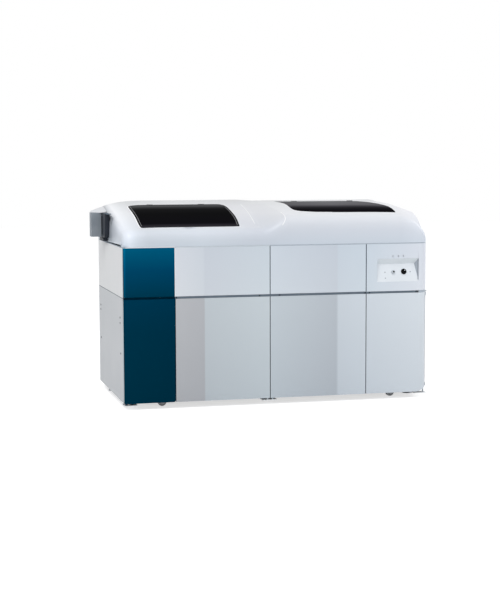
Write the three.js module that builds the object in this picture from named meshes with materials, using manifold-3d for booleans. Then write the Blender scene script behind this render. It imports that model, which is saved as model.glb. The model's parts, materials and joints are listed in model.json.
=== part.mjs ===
import * as THREE from "three";
import { mergeVertices } from "three/addons/utils/BufferGeometryUtils.js";
import Module from "manifold-3d";

const wasm = await Module();
wasm.setup();
const { Manifold, Mesh: SolidMesh } = wasm;

// Chemistry analyzer on the floor: panelled cabinet, domed top cover with two tinted lids.
// Millimetres. x runs to the right along the front, y into the depth, z up, floor at z = 0.
// The drawing starts at the left front corner; one group at the end puts its middle over the origin.

// Main sizes
const wide = 1660;
const deep = 860;
const floorGap = 30;
const midLine = 578;
const midGap = 12;
const seamLine = 839;
const seamGap = 5;
const ridgeRise = 220.5;
const blueDoorWide = 268;
const rightBayWide = 356;
const middleShift = 11.5;
const doorGap = 4;
const seat = 0.3;
const sheet = 2;
const leftEdge = blueDoorWide + doorGap / 2;
const rightEdge = wide - rightBayWide;
const middleEdge = (leftEdge + rightEdge) / 2 - middleShift;
const over = 1;
const weld = 0.0005;
const roundSides = 24;
const smallSides = 12;
const hexSides = 6;
const traySides = 36;

// Heights that the panels share
const lowTop = midLine - midGap / 2;
const highBottom = midLine + midGap / 2;
const highTop = seamLine - seamGap / 2;
const coverBottom = seamLine + seamGap / 2;
const sideSeam = 3;
const sideLowTop = midLine - sideSeam / 2;
const sideHighBottom = midLine + sideSeam / 2;

// Corners and returns
const leftRound = 12;
const rightRound = 70;
const wrapEnd = 72;
const panReturn = 20;
const doorSweep = 6;
const sideFront = panReturn + doorSweep;

// Finishes of the pieces
const white = { color: 0xe6e8ea, roughness: 0.42, metalness: 0 };
const silver = { color: 0xc9d1d9, roughness: 0.38, metalness: 0.35 };
const blue = { color: 0x00486a, roughness: 0.3, metalness: 0.1 };
const framePaint = { color: 0xb4b9be, roughness: 0.5, metalness: 0.1 };
const steel = { color: 0x8b9299, roughness: 0.45, metalness: 0.8 };
const dark = { color: 0x23262b, roughness: 0.5, metalness: 0 };
const tinted = { color: 0x17161a, roughness: 0.12, metalness: 0 };
const ivory = { color: 0xdcded8, roughness: 0.5, metalness: 0 };

// Solids: everything is cut and joined as closed bodies
function solidOf(geometry) {
  const bare = geometry.index ? geometry.toNonIndexed() : geometry.clone();
  for (const name of Object.keys(bare.attributes)) if (name !== "position") bare.deleteAttribute(name);
  const joined = mergeVertices(bare, weld);
  const mesh = new SolidMesh({
    numProp: 3,
    vertProperties: new Float32Array(joined.attributes.position.array),
    triVerts: new Uint32Array(joined.index.array),
  });
  mesh.merge();
  return new Manifold(mesh);
}

function block(x0, x1, y0, y1, z0, z1) {
  const geometry = new THREE.BoxGeometry(x1 - x0, y1 - y0, z1 - z0);
  geometry.translate((x0 + x1) / 2, (y0 + y1) / 2, (z0 + z1) / 2);
  return solidOf(geometry);
}

// Round bar standing on its base point, leaning along a direction
const upright = [0, 0, 1];
const alongX = [1, 0, 0];
const alongY = [0, 1, 0];
function bar(radius, length, base, direction = upright, sides = roundSides, topRadius = radius) {
  const geometry = new THREE.CylinderGeometry(topRadius, radius, length, sides);
  geometry.translate(0, length / 2, 0);
  const up = new THREE.Vector3(0, 1, 0);
  const turn = new THREE.Quaternion().setFromUnitVectors(up, new THREE.Vector3(...direction).normalize());
  geometry.applyQuaternion(turn);
  geometry.translate(...base);
  return solidOf(geometry);
}

// Turned body: profile of [radius, height] points round an axis
function turned(profile, base, direction = upright, sides = roundSides) {
  const points = profile.map(([radius, height]) => new THREE.Vector2(radius, height));
  const geometry = new THREE.LatheGeometry(points, sides);
  const up = new THREE.Vector3(0, 1, 0);
  const turn = new THREE.Quaternion().setFromUnitVectors(up, new THREE.Vector3(...direction).normalize());
  geometry.applyQuaternion(turn);
  geometry.translate(...base);
  return solidOf(geometry);
}

// Plan outline raised from one height to another
function raised(outline, z0, z1) {
  const shape = new THREE.Shape(outline.map(([x, y]) => new THREE.Vector2(x, y)));
  const geometry = new THREE.ExtrudeGeometry(shape, { depth: z1 - z0, bevelEnabled: false });
  geometry.translate(0, 0, z0);
  return solidOf(geometry);
}

// Side outline of [y, z] points stretched along x
function stretched(outline, x0, x1) {
  return loft([x0, x1].map((x) => ({ x, loop: outline })));
}

// Loops of [y, z] points at rising x, skinned and closed at both ends
function loft(given) {
  const flat = given[0].loop.map(([y, z]) => new THREE.Vector2(y, z));
  const flip = THREE.ShapeUtils.isClockWise(flat);
  const stations = given.map(({ x, loop }) => ({ x, loop: flip ? loop.slice().reverse() : loop }));
  const count = stations[0].loop.length;
  const positions = [];
  for (const { x, loop } of stations) for (const [y, z] of loop) positions.push(x, y, z);
  const index = [];
  for (let s = 0; s + 1 < stations.length; s += 1) {
    for (let i = 0; i < count; i += 1) {
      const next = (i + 1) % count;
      const a = s * count + i;
      const b = s * count + next;
      const c = a + count;
      const d = b + count;
      index.push(a, c, b, b, c, d);
    }
  }
  const last = (stations.length - 1) * count;
  const ends = [[stations[0].loop, 0, false], [stations[stations.length - 1].loop, last, true]];
  for (const [loop, start, far] of ends) {
    const contour = loop.map(([y, z]) => new THREE.Vector2(y, z));
    for (const [a, b, c] of THREE.ShapeUtils.triangulateShape(contour, [])) {
      if (far) index.push(start + a, start + c, start + b);
      else index.push(start + a, start + b, start + c);
    }
  }
  const geometry = new THREE.BufferGeometry();
  geometry.setAttribute("position", new THREE.Float32BufferAttribute(positions, 3));
  geometry.setIndex(index);
  const solid = solidOf(geometry);
  if (solid.volume() > 0) return solid;
  for (let i = 0; i < index.length; i += 3) [index[i + 1], index[i + 2]] = [index[i + 2], index[i + 1]];
  geometry.setIndex(index);
  return solidOf(geometry);
}

// Loop moved inwards by a distance, for loops that run anticlockwise
function inset(loop, distance) {
  return loop.map((point, i) => {
    const before = loop[(i + loop.length - 1) % loop.length];
    const after = loop[(i + 1) % loop.length];
    const a = new THREE.Vector2(point[0] - before[0], point[1] - before[1]).normalize();
    const b = new THREE.Vector2(after[0] - point[0], after[1] - point[1]).normalize();
    const normal = new THREE.Vector2(-a.y - b.y, a.x + b.x).normalize();
    const slant = Math.max(0.5, normal.x * -a.y + normal.y * a.x);
    return [point[0] + (normal.x * distance) / slant, point[1] + (normal.y * distance) / slant];
  });
}

const joinAll = (solids) => solids.reduce((all, one) => all.add(one));
const cutAll = (solid, cutters) => cutters.reduce((rest, one) => rest.subtract(one), solid);

const pieces = [];
function piece(name, solid, finish) {
  pieces.push({ name, solid, finish });
}

// Hinge pins of the doors: upright pins in tabs of the frame above and below each door
const pinRadius = 4;
const pinPlay = 0.4;
const pinSide = 12;
const pinFront = 7;
const pinBlock = 20;
const pinLong = 8;
const tabThick = 4;
const tabHalf = 24;
const tabFront = 1;
const lowTabTop = floorGap - pinRadius;
const highTabBottom = lowTop + pinRadius - seat;
const blueHingeX = 10;
const blueHingeY = 9;
const leftHingeX = middleEdge - doorGap / 2 - pinSide;
const rightHingeX = middleEdge + doorGap / 2 + pinSide;
const endHingeX = wide - pinSide;
const endHingeY = 52;
const hinges = [
  [blueHingeX, blueHingeY],
  [leftHingeX, pinFront],
  [rightHingeX, pinFront],
  [endHingeX, endHingeY],
];

// Plan arc of the cabinet's rounded left front corner, stepped inwards
function roundCorner(left, step) {
  const radius = leftRound - step;
  const arcSteps = 4;
  const arc = [];
  for (let i = 0; i <= arcSteps; i += 1) {
    const angle = Math.PI + (Math.PI / 2) * (i / arcSteps);
    arc.push([left + leftRound + radius * Math.cos(angle), leftRound + radius * Math.sin(angle)]);
  }
  return arc;
}

// Frame: welded tubes in four pieces that stand on each other
const tube = 40;
const frameLeft = 30;
const frameFront = 80;
const frameBack = 40;
const ringBottom = 70;
const ringTop = ringBottom + tube;
const plateLap = 12;
const plateGap = 2;
const plateBottom = ringTop + seat;
const plateTop = plateBottom + sheet;
const deckDrop = 12.7;
const deckBottom = seamLine - deckDrop;
const deckThick = 3.7;
const deckTop = deckBottom + deckThick;
const topRingTop = deckBottom - seat;
const topRingBottom = topRingTop - tube;
const railBottom = highTabBottom - tube / 2;
const frameRight = wide - frameLeft;
const frameRear = deep - frameBack;
const postLefts = [frameLeft, middleEdge - tube / 2, rightEdge - tube / 2, frameRight - tube];
function ring(z0, z1) {
  const [x0, x1, y0, y1] = [frameLeft, frameRight, frameFront, frameRear];
  return joinAll([
    block(x0, x1, y0, y0 + tube, z0, z1), block(x0, x1, y1 - tube, y1, z0, z1),
    block(x0, x0 + tube, y0, y1, z0, z1), block(x1 - tube, x1, y0, y1, z0, z1),
  ]);
}
// Hinge tabs: plates that reach forward to the door pins; the two middle doors share one plate
function tabSpan(x) {
  return [Math.min(x - tabHalf, frameRight - tube), Math.max(x + tabHalf, frameLeft + tube)];
}
function tabPlates(z0) {
  const plates = hinges.flatMap(([x, y]) => {
    const [near, far] = tabSpan(x);
    const left = Math.max(near, sheet);
    const right = Math.min(far, wide - sheet - over);
    const front = Math.max(y - tabHalf, tabFront);
    const back = (left < frameLeft ? sideFront : wrapEnd) - over;
    const [webLeft, webRight] = [Math.max(left, frameLeft), Math.min(right, frameRight)];
    return [
      block(left, right, front, back, z0, z0 + tabThick),
      block(webLeft, webRight, front, frameFront + over, z0, z0 + tabThick),
    ];
  });
  plates.push(block(leftHingeX, rightHingeX, tabFront, frameFront + over, z0, z0 + tabThick));
  const boreRadius = pinRadius + pinPlay;
  const long = tabThick + 2 * over;
  const bores = hinges.map(([x, y]) => bar(boreRadius, long, [x, y, z0 - over], upright, smallSides));
  const inside = [...roundCorner(0, tabFront), [wide, tabFront], [wide, wrapEnd + tube], [0, wrapEnd + tube]];
  return cutAll(joinAll(plates).intersect(raised(inside, z0, z0 + tabThick)), bores);
}
function frames() {
  const [y0, y1] = [frameFront, frameRear];
  let base = ring(ringBottom, ringTop);
  for (const x of postLefts.slice(1, -1)) base = base.add(block(x, x + tube, y0, y1, ringBottom, ringTop));
  for (const [x] of hinges) {
    const [near, far] = tabSpan(x);
    const [left, right] = [Math.max(near, frameLeft), Math.min(far, frameRight)];
    base = base.add(block(left, right, y0, y0 + tabThick, lowTabTop - tabThick, ringBottom + over));
  }
  piece("base_ring", base.add(tabPlates(lowTabTop - tabThick)), framePaint);
  const [plateLeft, plateRight] = [frameLeft + plateLap, frameRight - plateLap];
  const [plateFront, plateRear] = [y0 + tube + plateGap, y1 - tube - plateGap];
  piece("floor_plate", block(plateLeft, plateRight, plateFront, plateRear, plateBottom, plateTop), framePaint);
  const [low, high] = [ringTop + seat, topRingBottom - seat];
  const rows = [["front_frame", y0], ["rear_frame", y1 - tube]];
  for (const [name, y] of rows) {
    let body = block(frameLeft, frameRight, y, y + tube, railBottom, railBottom + tube);
    for (const x of postLefts) body = body.add(block(x, x + tube, y, y + tube, low, high));
    piece(name, name === "front_frame" ? body.add(tabPlates(highTabBottom)) : body, framePaint);
  }
  piece("top_ring", ring(topRingBottom, topRingTop), framePaint);
}

// Panel with a wrapped right corner, open at the back
function wrapOutline(left, right, step) {
  const radius = rightRound - step;
  const outline = [[left + step, step]];
  const arcSteps = 8;
  for (let i = 0; i <= arcSteps; i += 1) {
    const angle = -Math.PI / 2 + (Math.PI / 2) * (i / arcSteps);
    outline.push([right - rightRound + radius * Math.cos(angle), rightRound + radius * Math.sin(angle)]);
  }
  return outline;
}
function wrapPan(left, right, z0, z1) {
  const outer = [...wrapOutline(left, right, 0), [right, wrapEnd], [left, wrapEnd]];
  const open = wrapEnd + over;
  const inner = [...wrapOutline(left, right, sheet), [right - sheet, open], [left + sheet, open]];
  const shell = raised(outer, z0, z1).subtract(raised(inner, z0 + sheet, z1 - sheet));
  const back = [
    [left - over, panReturn], ...wrapOutline(left, right, panReturn).slice(1), [right - panReturn, open],
    [left - over, open],
  ];
  return shell.subtract(raised(back, z0 - over, z1 + over));
}
function flatPan(left, right, z0, z1) {
  const shell = block(left, right, 0, panReturn, z0, z1);
  return shell.subtract(block(left + sheet, right - sheet, sheet, panReturn + over, z0 + sheet, z1 - sheet));
}
// Panel of the blue end, with a rounded left corner
function roundOutline(left, right, step, back) {
  return [[left + step, back], ...roundCorner(left, step), [right - step, step], [right - step, back]];
}
function roundPan(left, right, z0, z1) {
  const outer = roundOutline(left, right, 0, panReturn);
  const inner = roundOutline(left, right, sheet, panReturn + over);
  return raised(outer, z0, z1).subtract(raised(inner, z0 + sheet, z1 - sheet));
}

// Doors: pan, grip bar along the top with a scoop, and the hinge pins
const gripDrop = 26;
const gripDeep = 18;
const scoopRadius = 15;
const doorBottom = floorGap;
function door(name, left, right, hinge, grip, finish, pan = flatPan) {
  const gripRight = pan === wrapPan ? wide - rightRound : right - over;
  let fill = block(left + over, gripRight, over, gripDeep, lowTop - gripDrop, lowTop - over);
  const [x, y] = hinge;
  const low = Math.max(y - pinBlock / 2, over);
  for (const [z0, z1] of [[doorBottom + over, doorBottom + pinBlock], [lowTop - pinBlock, lowTop - over]]) {
    const side = Math.min(x + pinBlock / 2, wide - over);
    fill = fill.add(block(x - pinBlock / 2, side, low, y + pinBlock / 2, z0, z1));
  }
  const rounded = raised(roundOutline(left, right, over, panReturn), doorBottom, lowTop);
  let body = pan(left, right, doorBottom, lowTop).add(pan === roundPan ? fill.intersect(rounded) : fill);
  body = body.add(bar(pinRadius, pinLong + over, [x, y, lowTop - over], upright, smallSides));
  body = body.add(bar(pinRadius, pinLong + over, [x, y, doorBottom - pinLong], upright, smallSides));
  const [gripLeft, gripEnd] = grip;
  const scoop = bar(scoopRadius, gripEnd - gripLeft, [gripLeft, 0, lowTop], alongX, smallSides);
  piece(name, body.subtract(scoop), finish);
}
const blueGripNear = 50;
const blueGripSpare = 13;
const gripNear = 6;
const leftGripSpare = 57.5;
const rightGripSpare = 51.5;
const endGripNear = 18;
const endGripSpare = 75;
function doors() {
  const half = doorGap / 2;
  const blueGrip = [blueGripNear, leftEdge - blueGripSpare];
  const leftGrip = [leftEdge + gripNear, middleEdge - leftGripSpare];
  const rightGrip = [middleEdge + rightGripSpare, rightEdge - gripNear];
  const endGrip = [rightEdge + endGripNear, wide - endGripSpare];
  door("blue_door", 0, leftEdge - half, hinges[0], blueGrip, blue, roundPan);
  door("left_door", leftEdge + half, middleEdge - half, hinges[1], leftGrip, silver);
  door("right_door", middleEdge + half, rightEdge - half, hinges[2], rightGrip, silver);
  door("end_door", rightEdge + half, wide, hinges[3], endGrip, silver, wrapPan);
}

// Upper panels, fixed; each has two hook bars that reach the frame
const hookWide = 30;
const hookInset = 60;
const hookTall = 16;
function withHooks(body, left, right) {
  const z0 = topRingTop - hookTall * 2;
  let all = body;
  for (const x of [left + hookInset, right - hookInset - hookWide]) {
    all = all.add(block(x, x + hookWide, sheet / 2, frameFront - seat, z0, z0 + hookTall));
  }
  return all;
}
function upperPanels() {
  const half = doorGap / 2;
  const spans = [
    ["blue_upper_panel", 0, leftEdge - half, blue, roundPan],
    ["left_upper_panel", leftEdge + half, middleEdge - half, silver, flatPan],
    ["right_upper_panel", middleEdge + half, rightEdge - half, silver, flatPan],
  ];
  for (const [name, left, right, finish, pan] of spans) {
    piece(name, withHooks(pan(left, right, highBottom, highTop), left, right), finish);
  }
}

// Control panel: recess with a floor that leans in to a ridge under a sloped brow, two push buttons
const recessNear = 60.6;
const recessFar = 60;
const recessRise = 49.6;
const recessTall = 123.7;
const recessLeft = rightEdge + recessNear;
const recessRight = wide - recessFar;
const recessBottom = highBottom + recessRise;
const recessTop = recessBottom + recessTall;
const recessDeep = 20;
const recessBrow = 29.3;
const recessSlant = 20;
const recessRim = 9;
const recessBack = 30;
const recessLow = 0.6;
const buttonPlay = 0.35;
const midButtonIn = 93.4;
const midButtonUp = 49.9;
const midButtonRadius = 10;
const bigButtonIn = 82;
const bigButtonUp = 52.4;
const midButtonX = recessLeft + midButtonIn;
const midButtonZ = recessBottom + midButtonUp;
const bigButtonX = recessRight - bigButtonIn;
const bigButtonZ = recessBottom + bigButtonUp;
const bigButtonRadius = 15;
const buttonProud = 5;
const buttonStem = 12;
const buttonEdge = 1.2;
const recessRidge = recessTop - recessBrow;
const recessLean = Math.atan2(recessDeep - recessLow, recessRidge - recessBottom);
const buttonWay = [0, Math.cos(recessLean), -Math.sin(recessLean)];
const recessFloorY = (z) => recessLow + (z - recessBottom) * Math.tan(recessLean);
function controlPanel() {
  const left = rightEdge + doorGap / 2;
  let body = wrapPan(left, wide, highBottom, highTop);
  const backing = block(recessLeft - recessRim, recessRight + recessRim, over, recessBack,
    recessBottom - recessRim, recessTop + recessRim);
  const corner = raised([[wide - rightRound, -over], [wide, -over], [wide, rightRound]], highBottom, highTop);
  body = body.add(backing.subtract(corner));
  const corners = [-over, recessLow].flatMap((y) => [
    [recessLeft, y, recessBottom], [recessRight, y, recessBottom],
    [recessLeft, y, recessTop], [recessRight, y, recessTop],
  ]);
  const ridge = [recessLeft, recessRight - recessSlant].map((x) => [x, recessDeep, recessRidge]);
  body = body.subtract(Manifold.hull([...corners, ...ridge]));
  const spots = [[midButtonX, midButtonZ, midButtonRadius], [bigButtonX, bigButtonZ, bigButtonRadius]];
  for (const [x, z, radius] of spots) {
    const start = [x, recessFloorY(z) - buttonWay[1] * over, z - buttonWay[2] * over];
    body = body.subtract(bar(radius + buttonPlay, recessBack + recessDeep, start, buttonWay));
  }
  piece("control_panel", withHooks(body, left, wide - rightRound), silver);
}
function buttons() {
  const spots = [
    ["operate_button", midButtonX, midButtonZ, midButtonRadius, silver],
    ["power_button", bigButtonX, bigButtonZ, bigButtonRadius, dark],
  ];
  for (const [name, x, z, radius, finish] of spots) {
    const y = recessFloorY(z);
    const start = [x, y - buttonWay[1] * buttonProud, z - buttonWay[2] * buttonProud];
    const long = buttonProud + buttonStem;
    const profile = [[0, 0], [radius - buttonEdge, 0], [radius, buttonEdge], [radius, long], [0, long]];
    piece(name, turned(profile, start, buttonWay), finish);
  }
}

// Side panels: sheets with returns along every edge
const sideReturn = 18;
const sidePad = 24;
function sideSheet(edge, way, front, z0, z1) {
  const back = deep - sheet - seat;
  const span = (near, far) => [edge + way * near, edge + way * far].sort((a, b) => a - b);
  const shell = block(...span(0, sideReturn), front, back, z0, z1);
  const inside = [front + sheet, back - sheet, z0 + sheet, z1 - sheet];
  return shell.subtract(block(...span(sheet, sideReturn + over), ...inside));
}
function sidePanels() {
  const y0 = frameFront + tube;
  const y1 = deep - frameBack - tube;
  const spans = [["lower", floorGap, sideLowTop, ringTop], ["upper", sideHighBottom, highTop, topRingTop]];
  for (const [row, z0, z1, level] of spans) {
    let left = sideSheet(0, 1, sideFront, z0, z1);
    let right = sideSheet(wide, -1, wrapEnd + doorGap, z0, z1);
    for (const y of [y0, y1 - sidePad]) {
      const zs = [level - tube + over, level - over];
      left = left.add(block(sheet / 2, frameLeft - seat, y, y + sidePad, ...zs));
      right = right.add(block(wide - frameLeft + seat, wide - sheet / 2, y, y + sidePad, ...zs));
    }
    piece("left_side_" + row + "_panel", left, white);
    piece("right_side_" + row + "_panel", right, white);
  }
}

// Rear panels with louvre slots and a mains inlet
const slotWide = 200;
const slotTall = 4;
const slotPitch = 20;
const slotRows = 8;
const slotLeft = 240;
const slotFar = 480;
const inletShift = 30;
const inletZ = 170;
const inletHalf = 34;
const inletDeep = 12;
function rearPanels() {
  const x0 = sheet + seat + sideReturn;
  const x1 = wide - sheet - seat - sideReturn;
  const y0 = deep - sheet;
  const inletX = wide / 2 - inletShift;
  const spans = [["lower", floorGap, sideLowTop, ringTop], ["upper", sideHighBottom, highTop, topRingTop]];
  for (const [row, z0, z1, level] of spans) {
    let body = block(0, wide, y0, deep, z0, z1);
    for (const x of [x0 + hookInset, x1 - hookInset]) {
      const top = level - hookTall;
      body = body.add(block(x, x + hookWide, deep - frameBack + seat, y0 + over, top - hookTall, top));
    }
    const slots = [];
    for (let i = 0; i < slotRows; i += 1) {
      for (const x of [slotLeft, wide - slotFar]) {
        const z = z0 + (z1 - z0) / 2 + (i - (slotRows - 1) / 2) * slotPitch;
        slots.push(block(x, x + slotWide, y0 - over, deep + over, z, z + slotTall));
      }
    }
    body = cutAll(body, slots);
    if (row === "lower") {
      const square = (half, front, back) => block(inletX - half, inletX + half, front, back,
        inletZ - half, inletZ + half);
      body = body.add(square(inletHalf, y0 - inletDeep, y0 + over));
      body = body.subtract(square(inletHalf / 2, y0 - inletDeep / 2, deep + over));
    }
    piece("rear_" + row + "_panel", body, white);
  }
}

// Dome of the top: side profiles as shares of the cover's depth and of the ridge height
const leftProfileShares = [
  [0, 0], [0, 0.172], [0.0116, 0.29], [0.0436, 0.376], [0.1016, 0.422], [0.1524, 0.4354],
  [0.4789, 0.671], [0.8128, 0.909], [0.9289, 0.984], [0.981, 0.988], [1, 0.945],
];
const rightProfileShares = [
  [0, 0], [0, 0.417], [0.0116, 0.558], [0.0436, 0.653], [0.0987, 0.7075], [0.1524, 0.7324],
  [0.4789, 0.834], [0.8128, 0.93], [0.9289, 0.9547], [0.981, 0.957], [1, 0.92],
];
const hoodProfileShares = [
  [0, 0], [0, 0.93], [0.1137, 0.96], [0.4024, 0.95], [0.7605, 0.82], [0.9521, 0.66], [1, 0.5], [1, 0],
];
const saddleLeft = 30.5;
const saddleRight = 96.5;
const creaseLeft = middleEdge - saddleLeft;
const creaseRight = middleEdge + saddleRight;
const leftEndReach = 300;
const rightEndReach = 104;
const leftEndShare = 0.868;
const leftEndPower = 4;
const canopyFallShare = 0.49;
const rightEndShare = 0.5;
const leftCorner = 50;
const rightCorner = 70;
const hoodDeep = 171;
const hoodGap = 4;
const coverRear = deep - hoodDeep;
const coverThick = 8;
const hoodThick = 5;
const endSteps = 6;

function endFactor(x) {
  const fromLeft = (leftEndReach - x) / leftEndReach;
  const fromRight = (x - (wide - rightEndReach)) / rightEndReach;
  if (fromLeft > 1) return leftEndShare - (fromLeft - 1) * canopyFallShare;
  if (fromLeft > 0) return leftEndShare + (1 - leftEndShare) * (1 - fromLeft ** leftEndPower);
  const rightCurve = Math.sqrt(Math.max(0, 1 - fromRight * fromRight));
  return fromRight > 0 ? rightEndShare + (1 - rightEndShare) * rightCurve : 1;
}
function cornerInset(x) {
  const left = (leftCorner - Math.max(x, 0)) / leftCorner;
  const right = (x - (wide - rightCorner)) / rightCorner;
  if (left > 0) return leftCorner * (1 - Math.sqrt(1 - left * left));
  if (right > 0) return rightCorner * (1 - Math.sqrt(Math.max(0, 1 - right * right)));
  return 0;
}
function domeStations() {
  const xs = [];
  for (let i = 0; i <= endSteps; i += 1) {
    const turn = (Math.PI / 2) * (i / endSteps);
    xs.push(leftEndReach * (1 - Math.sin(turn)), wide - rightEndReach * (1 - Math.sin(turn)));
  }
  const cornerShares = [0.02, 0.14, 0.4];
  for (const share of cornerShares) xs.push(leftCorner * share, wide - rightCorner * share);
  xs.push(creaseLeft, (creaseLeft + creaseRight) / 2, creaseRight);
  xs.sort((a, b) => a - b);
  return xs.filter((x, i) => i === 0 || x - xs[i - 1] > over);
}
function domeProfile(x) {
  const blend = Math.min(1, Math.max(0, (x - creaseLeft) / (creaseRight - creaseLeft)));
  const front = cornerInset(x);
  const factor = endFactor(x);
  return leftProfileShares.map(([share, rise], i) => {
    const y = coverRear * (share + (rightProfileShares[i][0] - share) * blend);
    const z = ridgeRise * (rise + (rightProfileShares[i][1] - rise) * blend) * factor;
    return [front + (y * (coverRear - front)) / coverRear, coverBottom + z];
  });
}
// Solid under the dome surface, lowered by a depth; the open sides run past the shell
function underDome(depth, drop, back) {
  return loft(domeStations().map((x) => {
    const profile = domeProfile(x);
    const loop = [...profile, [coverRear, coverBottom]];
    const moved = depth > 0 ? inset(loop.slice().reverse(), depth).reverse() : loop;
    const last = moved.length - 1;
    moved[0] = [moved[0][0], coverBottom - drop];
    moved[last] = [coverRear + back, coverBottom - drop];
    moved[last - 1] = [coverRear + back, moved[last - 1][1] - depth];
    const half = wide / 2;
    return { x: half + ((x - half) * (half - depth)) / half, loop: moved };
  }));
}

// Windows: outlines as shares of their own span, lids hinged along their rear edge
const leftWindowX = 112;
const leftWindowY = 86;
const leftWindowSpare = 82;
const leftWindowRear = 137;
const leftWindowWide = creaseLeft - leftWindowSpare - leftWindowX;
const leftWindowDeep = coverRear - leftWindowRear - leftWindowY;
const leftWindowShares = [
  [0.016, 0], [0.92, 0], [0.947, 0.017], [0.961, 0.084], [0.985, 0.294], [0.998, 0.466], [1, 0.685],
  [0.994, 0.862], [0.976, 0.952], [0.937, 0.994], [0.886, 1], [0.114, 1], [0.033, 0.988], [0.007, 0.961],
  [0.007, 0.869], [0.012, 0.695], [0.012, 0.496], [0.004, 0.258], [0, 0.12], [0.003, 0.03],
];
const rightWindowNear = 57;
const rightWindowY = 102;
const rightWindowSpare = 96;
const rightWindowRear = 89;
const rightWindowX = creaseRight + rightWindowNear;
const rightWindowWide = wide - rightWindowSpare - rightWindowX;
const rightWindowDeep = coverRear - rightWindowRear - rightWindowY;
const rightWindowShares = [
  [0.017, 0.161], [0.041, 0.1], [0.076, 0.072], [0.128, 0.052], [0.206, 0.036], [0.414, 0.018],
  [0.677, 0.006], [0.899, 0], [0.921, 0.062], [0.972, 0.353], [1, 0.588], [0.992, 0.697], [0.961, 0.819],
  [0.899, 0.94], [0.82, 0.996], [0.742, 1], [0.022, 1],
  [0.011, 0.97], [0.008, 0.88], [0, 0.448], [0.002, 0.287],
];
const lidThick = 3.6;
const lidSeat = 4;
const lidGap = 1.2;
const lidLedge = 12;
const lidKnuckle = 2.4;
const lidKnuckleSink = 0.4;
const lidKnucklePlay = 0.6;
const lidKnuckleLong = 34;
const lidHingeIn = 2.2;
const placed = (shares, x, y, w, d) => shares.map(([a, b]) => [x + a * w, y + b * d]);
const leftWindow = placed(leftWindowShares, leftWindowX, leftWindowY, leftWindowWide, leftWindowDeep);
const rightWindow = placed(rightWindowShares, rightWindowX, rightWindowY, rightWindowWide, rightWindowDeep);
function surfaceZ(x, y) {
  const profile = domeProfile(x);
  for (let i = 2; i + 1 < profile.length; i += 1) {
    const [y0, z0] = profile[i];
    const [y1, z1] = profile[i + 1];
    if (y >= y0 && y <= y1) return z0 + ((z1 - z0) * (y - y0)) / (y1 - y0);
  }
  return profile[2][1];
}
const leftLidY = leftWindowY + leftWindowDeep - lidHingeIn;
const rightLidY = rightWindowY + rightWindowDeep - lidHingeIn;
const leftLidZ = surfaceZ(leftWindowX + leftWindowWide / 2, leftLidY) - lidKnuckleSink;
const rightLidZ = surfaceZ(rightWindowX + rightWindowWide / 2, rightLidY) - lidKnuckleSink;
const lidKnuckleShares = [0.2, 0.72];
const lids = [
  ["left_window_lid", leftWindow, leftWindowX, leftWindowWide, leftLidY, leftLidZ],
  ["right_window_lid", rightWindow, rightWindowX, rightWindowWide, rightLidY, rightLidZ],
];

// Cover hinge along the rear edge: knuckles on the cover between pins of the hood
const hingeBehind = 7;
const hingeDrop = 15.4;
const hingeY = coverRear + hingeBehind;
const hingeZ = coverBottom + ridgeRise - hingeDrop;
const hingeRadius = 5;
const backRun = 15;
const knuckleLong = 60;
const knuckleGap = 0.5;
const leftKnuckleX = 330;
const rightKnuckleFar = 390;
const rightKnuckleX = wide - rightKnuckleFar;
const webThick = 6;

// Sampling port on the left wall, with the canopy of the cover over it
const canopyReach = 81;
const canopyWaist = 80;
const canopyBack = 68;
const canopyRound = 6;
const canopyRise = 158.5;
const canopyDeep = 149;
const shroudLeft = 81;
const shroudRight = 26;
const shroudDeep = 129;
const shroudRear = 62;
const shroudRise = 27.5;
const throatRise = 6.5;
const throatDeep = 189;
const portDeep = 164;
const portRear = 69;
const portLow = 33.5;
const portHigh = 143.5;
const canopyBottom = coverBottom + canopyRise;
const canopyFront = coverRear - canopyDeep;
const shroudFront = coverRear - shroudDeep;
const shroudBack = coverRear - shroudRear;
const shroudBottom = coverBottom + shroudRise;
const throatBottom = coverBottom + throatRise;
const throatFront = coverRear - throatDeep;
const portFront = coverRear - portDeep;
const portBack = coverRear - portRear;
const portBottom = coverBottom + portLow;
const portTop = coverBottom + portHigh;
const shroudWall = 4;
const throatWall = 3;

// Finger recess below the left window
const fingerIn = 250;
const fingerY = 60;
const fingerHalf = 42;
const fingerAcross = 21;
const fingerDeep = 5;

// Strut brackets inside the cover
const strutInset = 46;
const strutCheek = 4;
const strutClear = 13;
const strutRear = 89;
const strutLong = 226;
const strutEnds = 44;
const strutRun = strutLong + strutEnds;
const coverPivotRise = 63.5;
const deckPivotY = coverRear - strutRear;
const coverPivotY = deckPivotY - strutRun;
const coverPivotZ = coverBottom + coverPivotRise;
const cheekHalf = 12;

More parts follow.
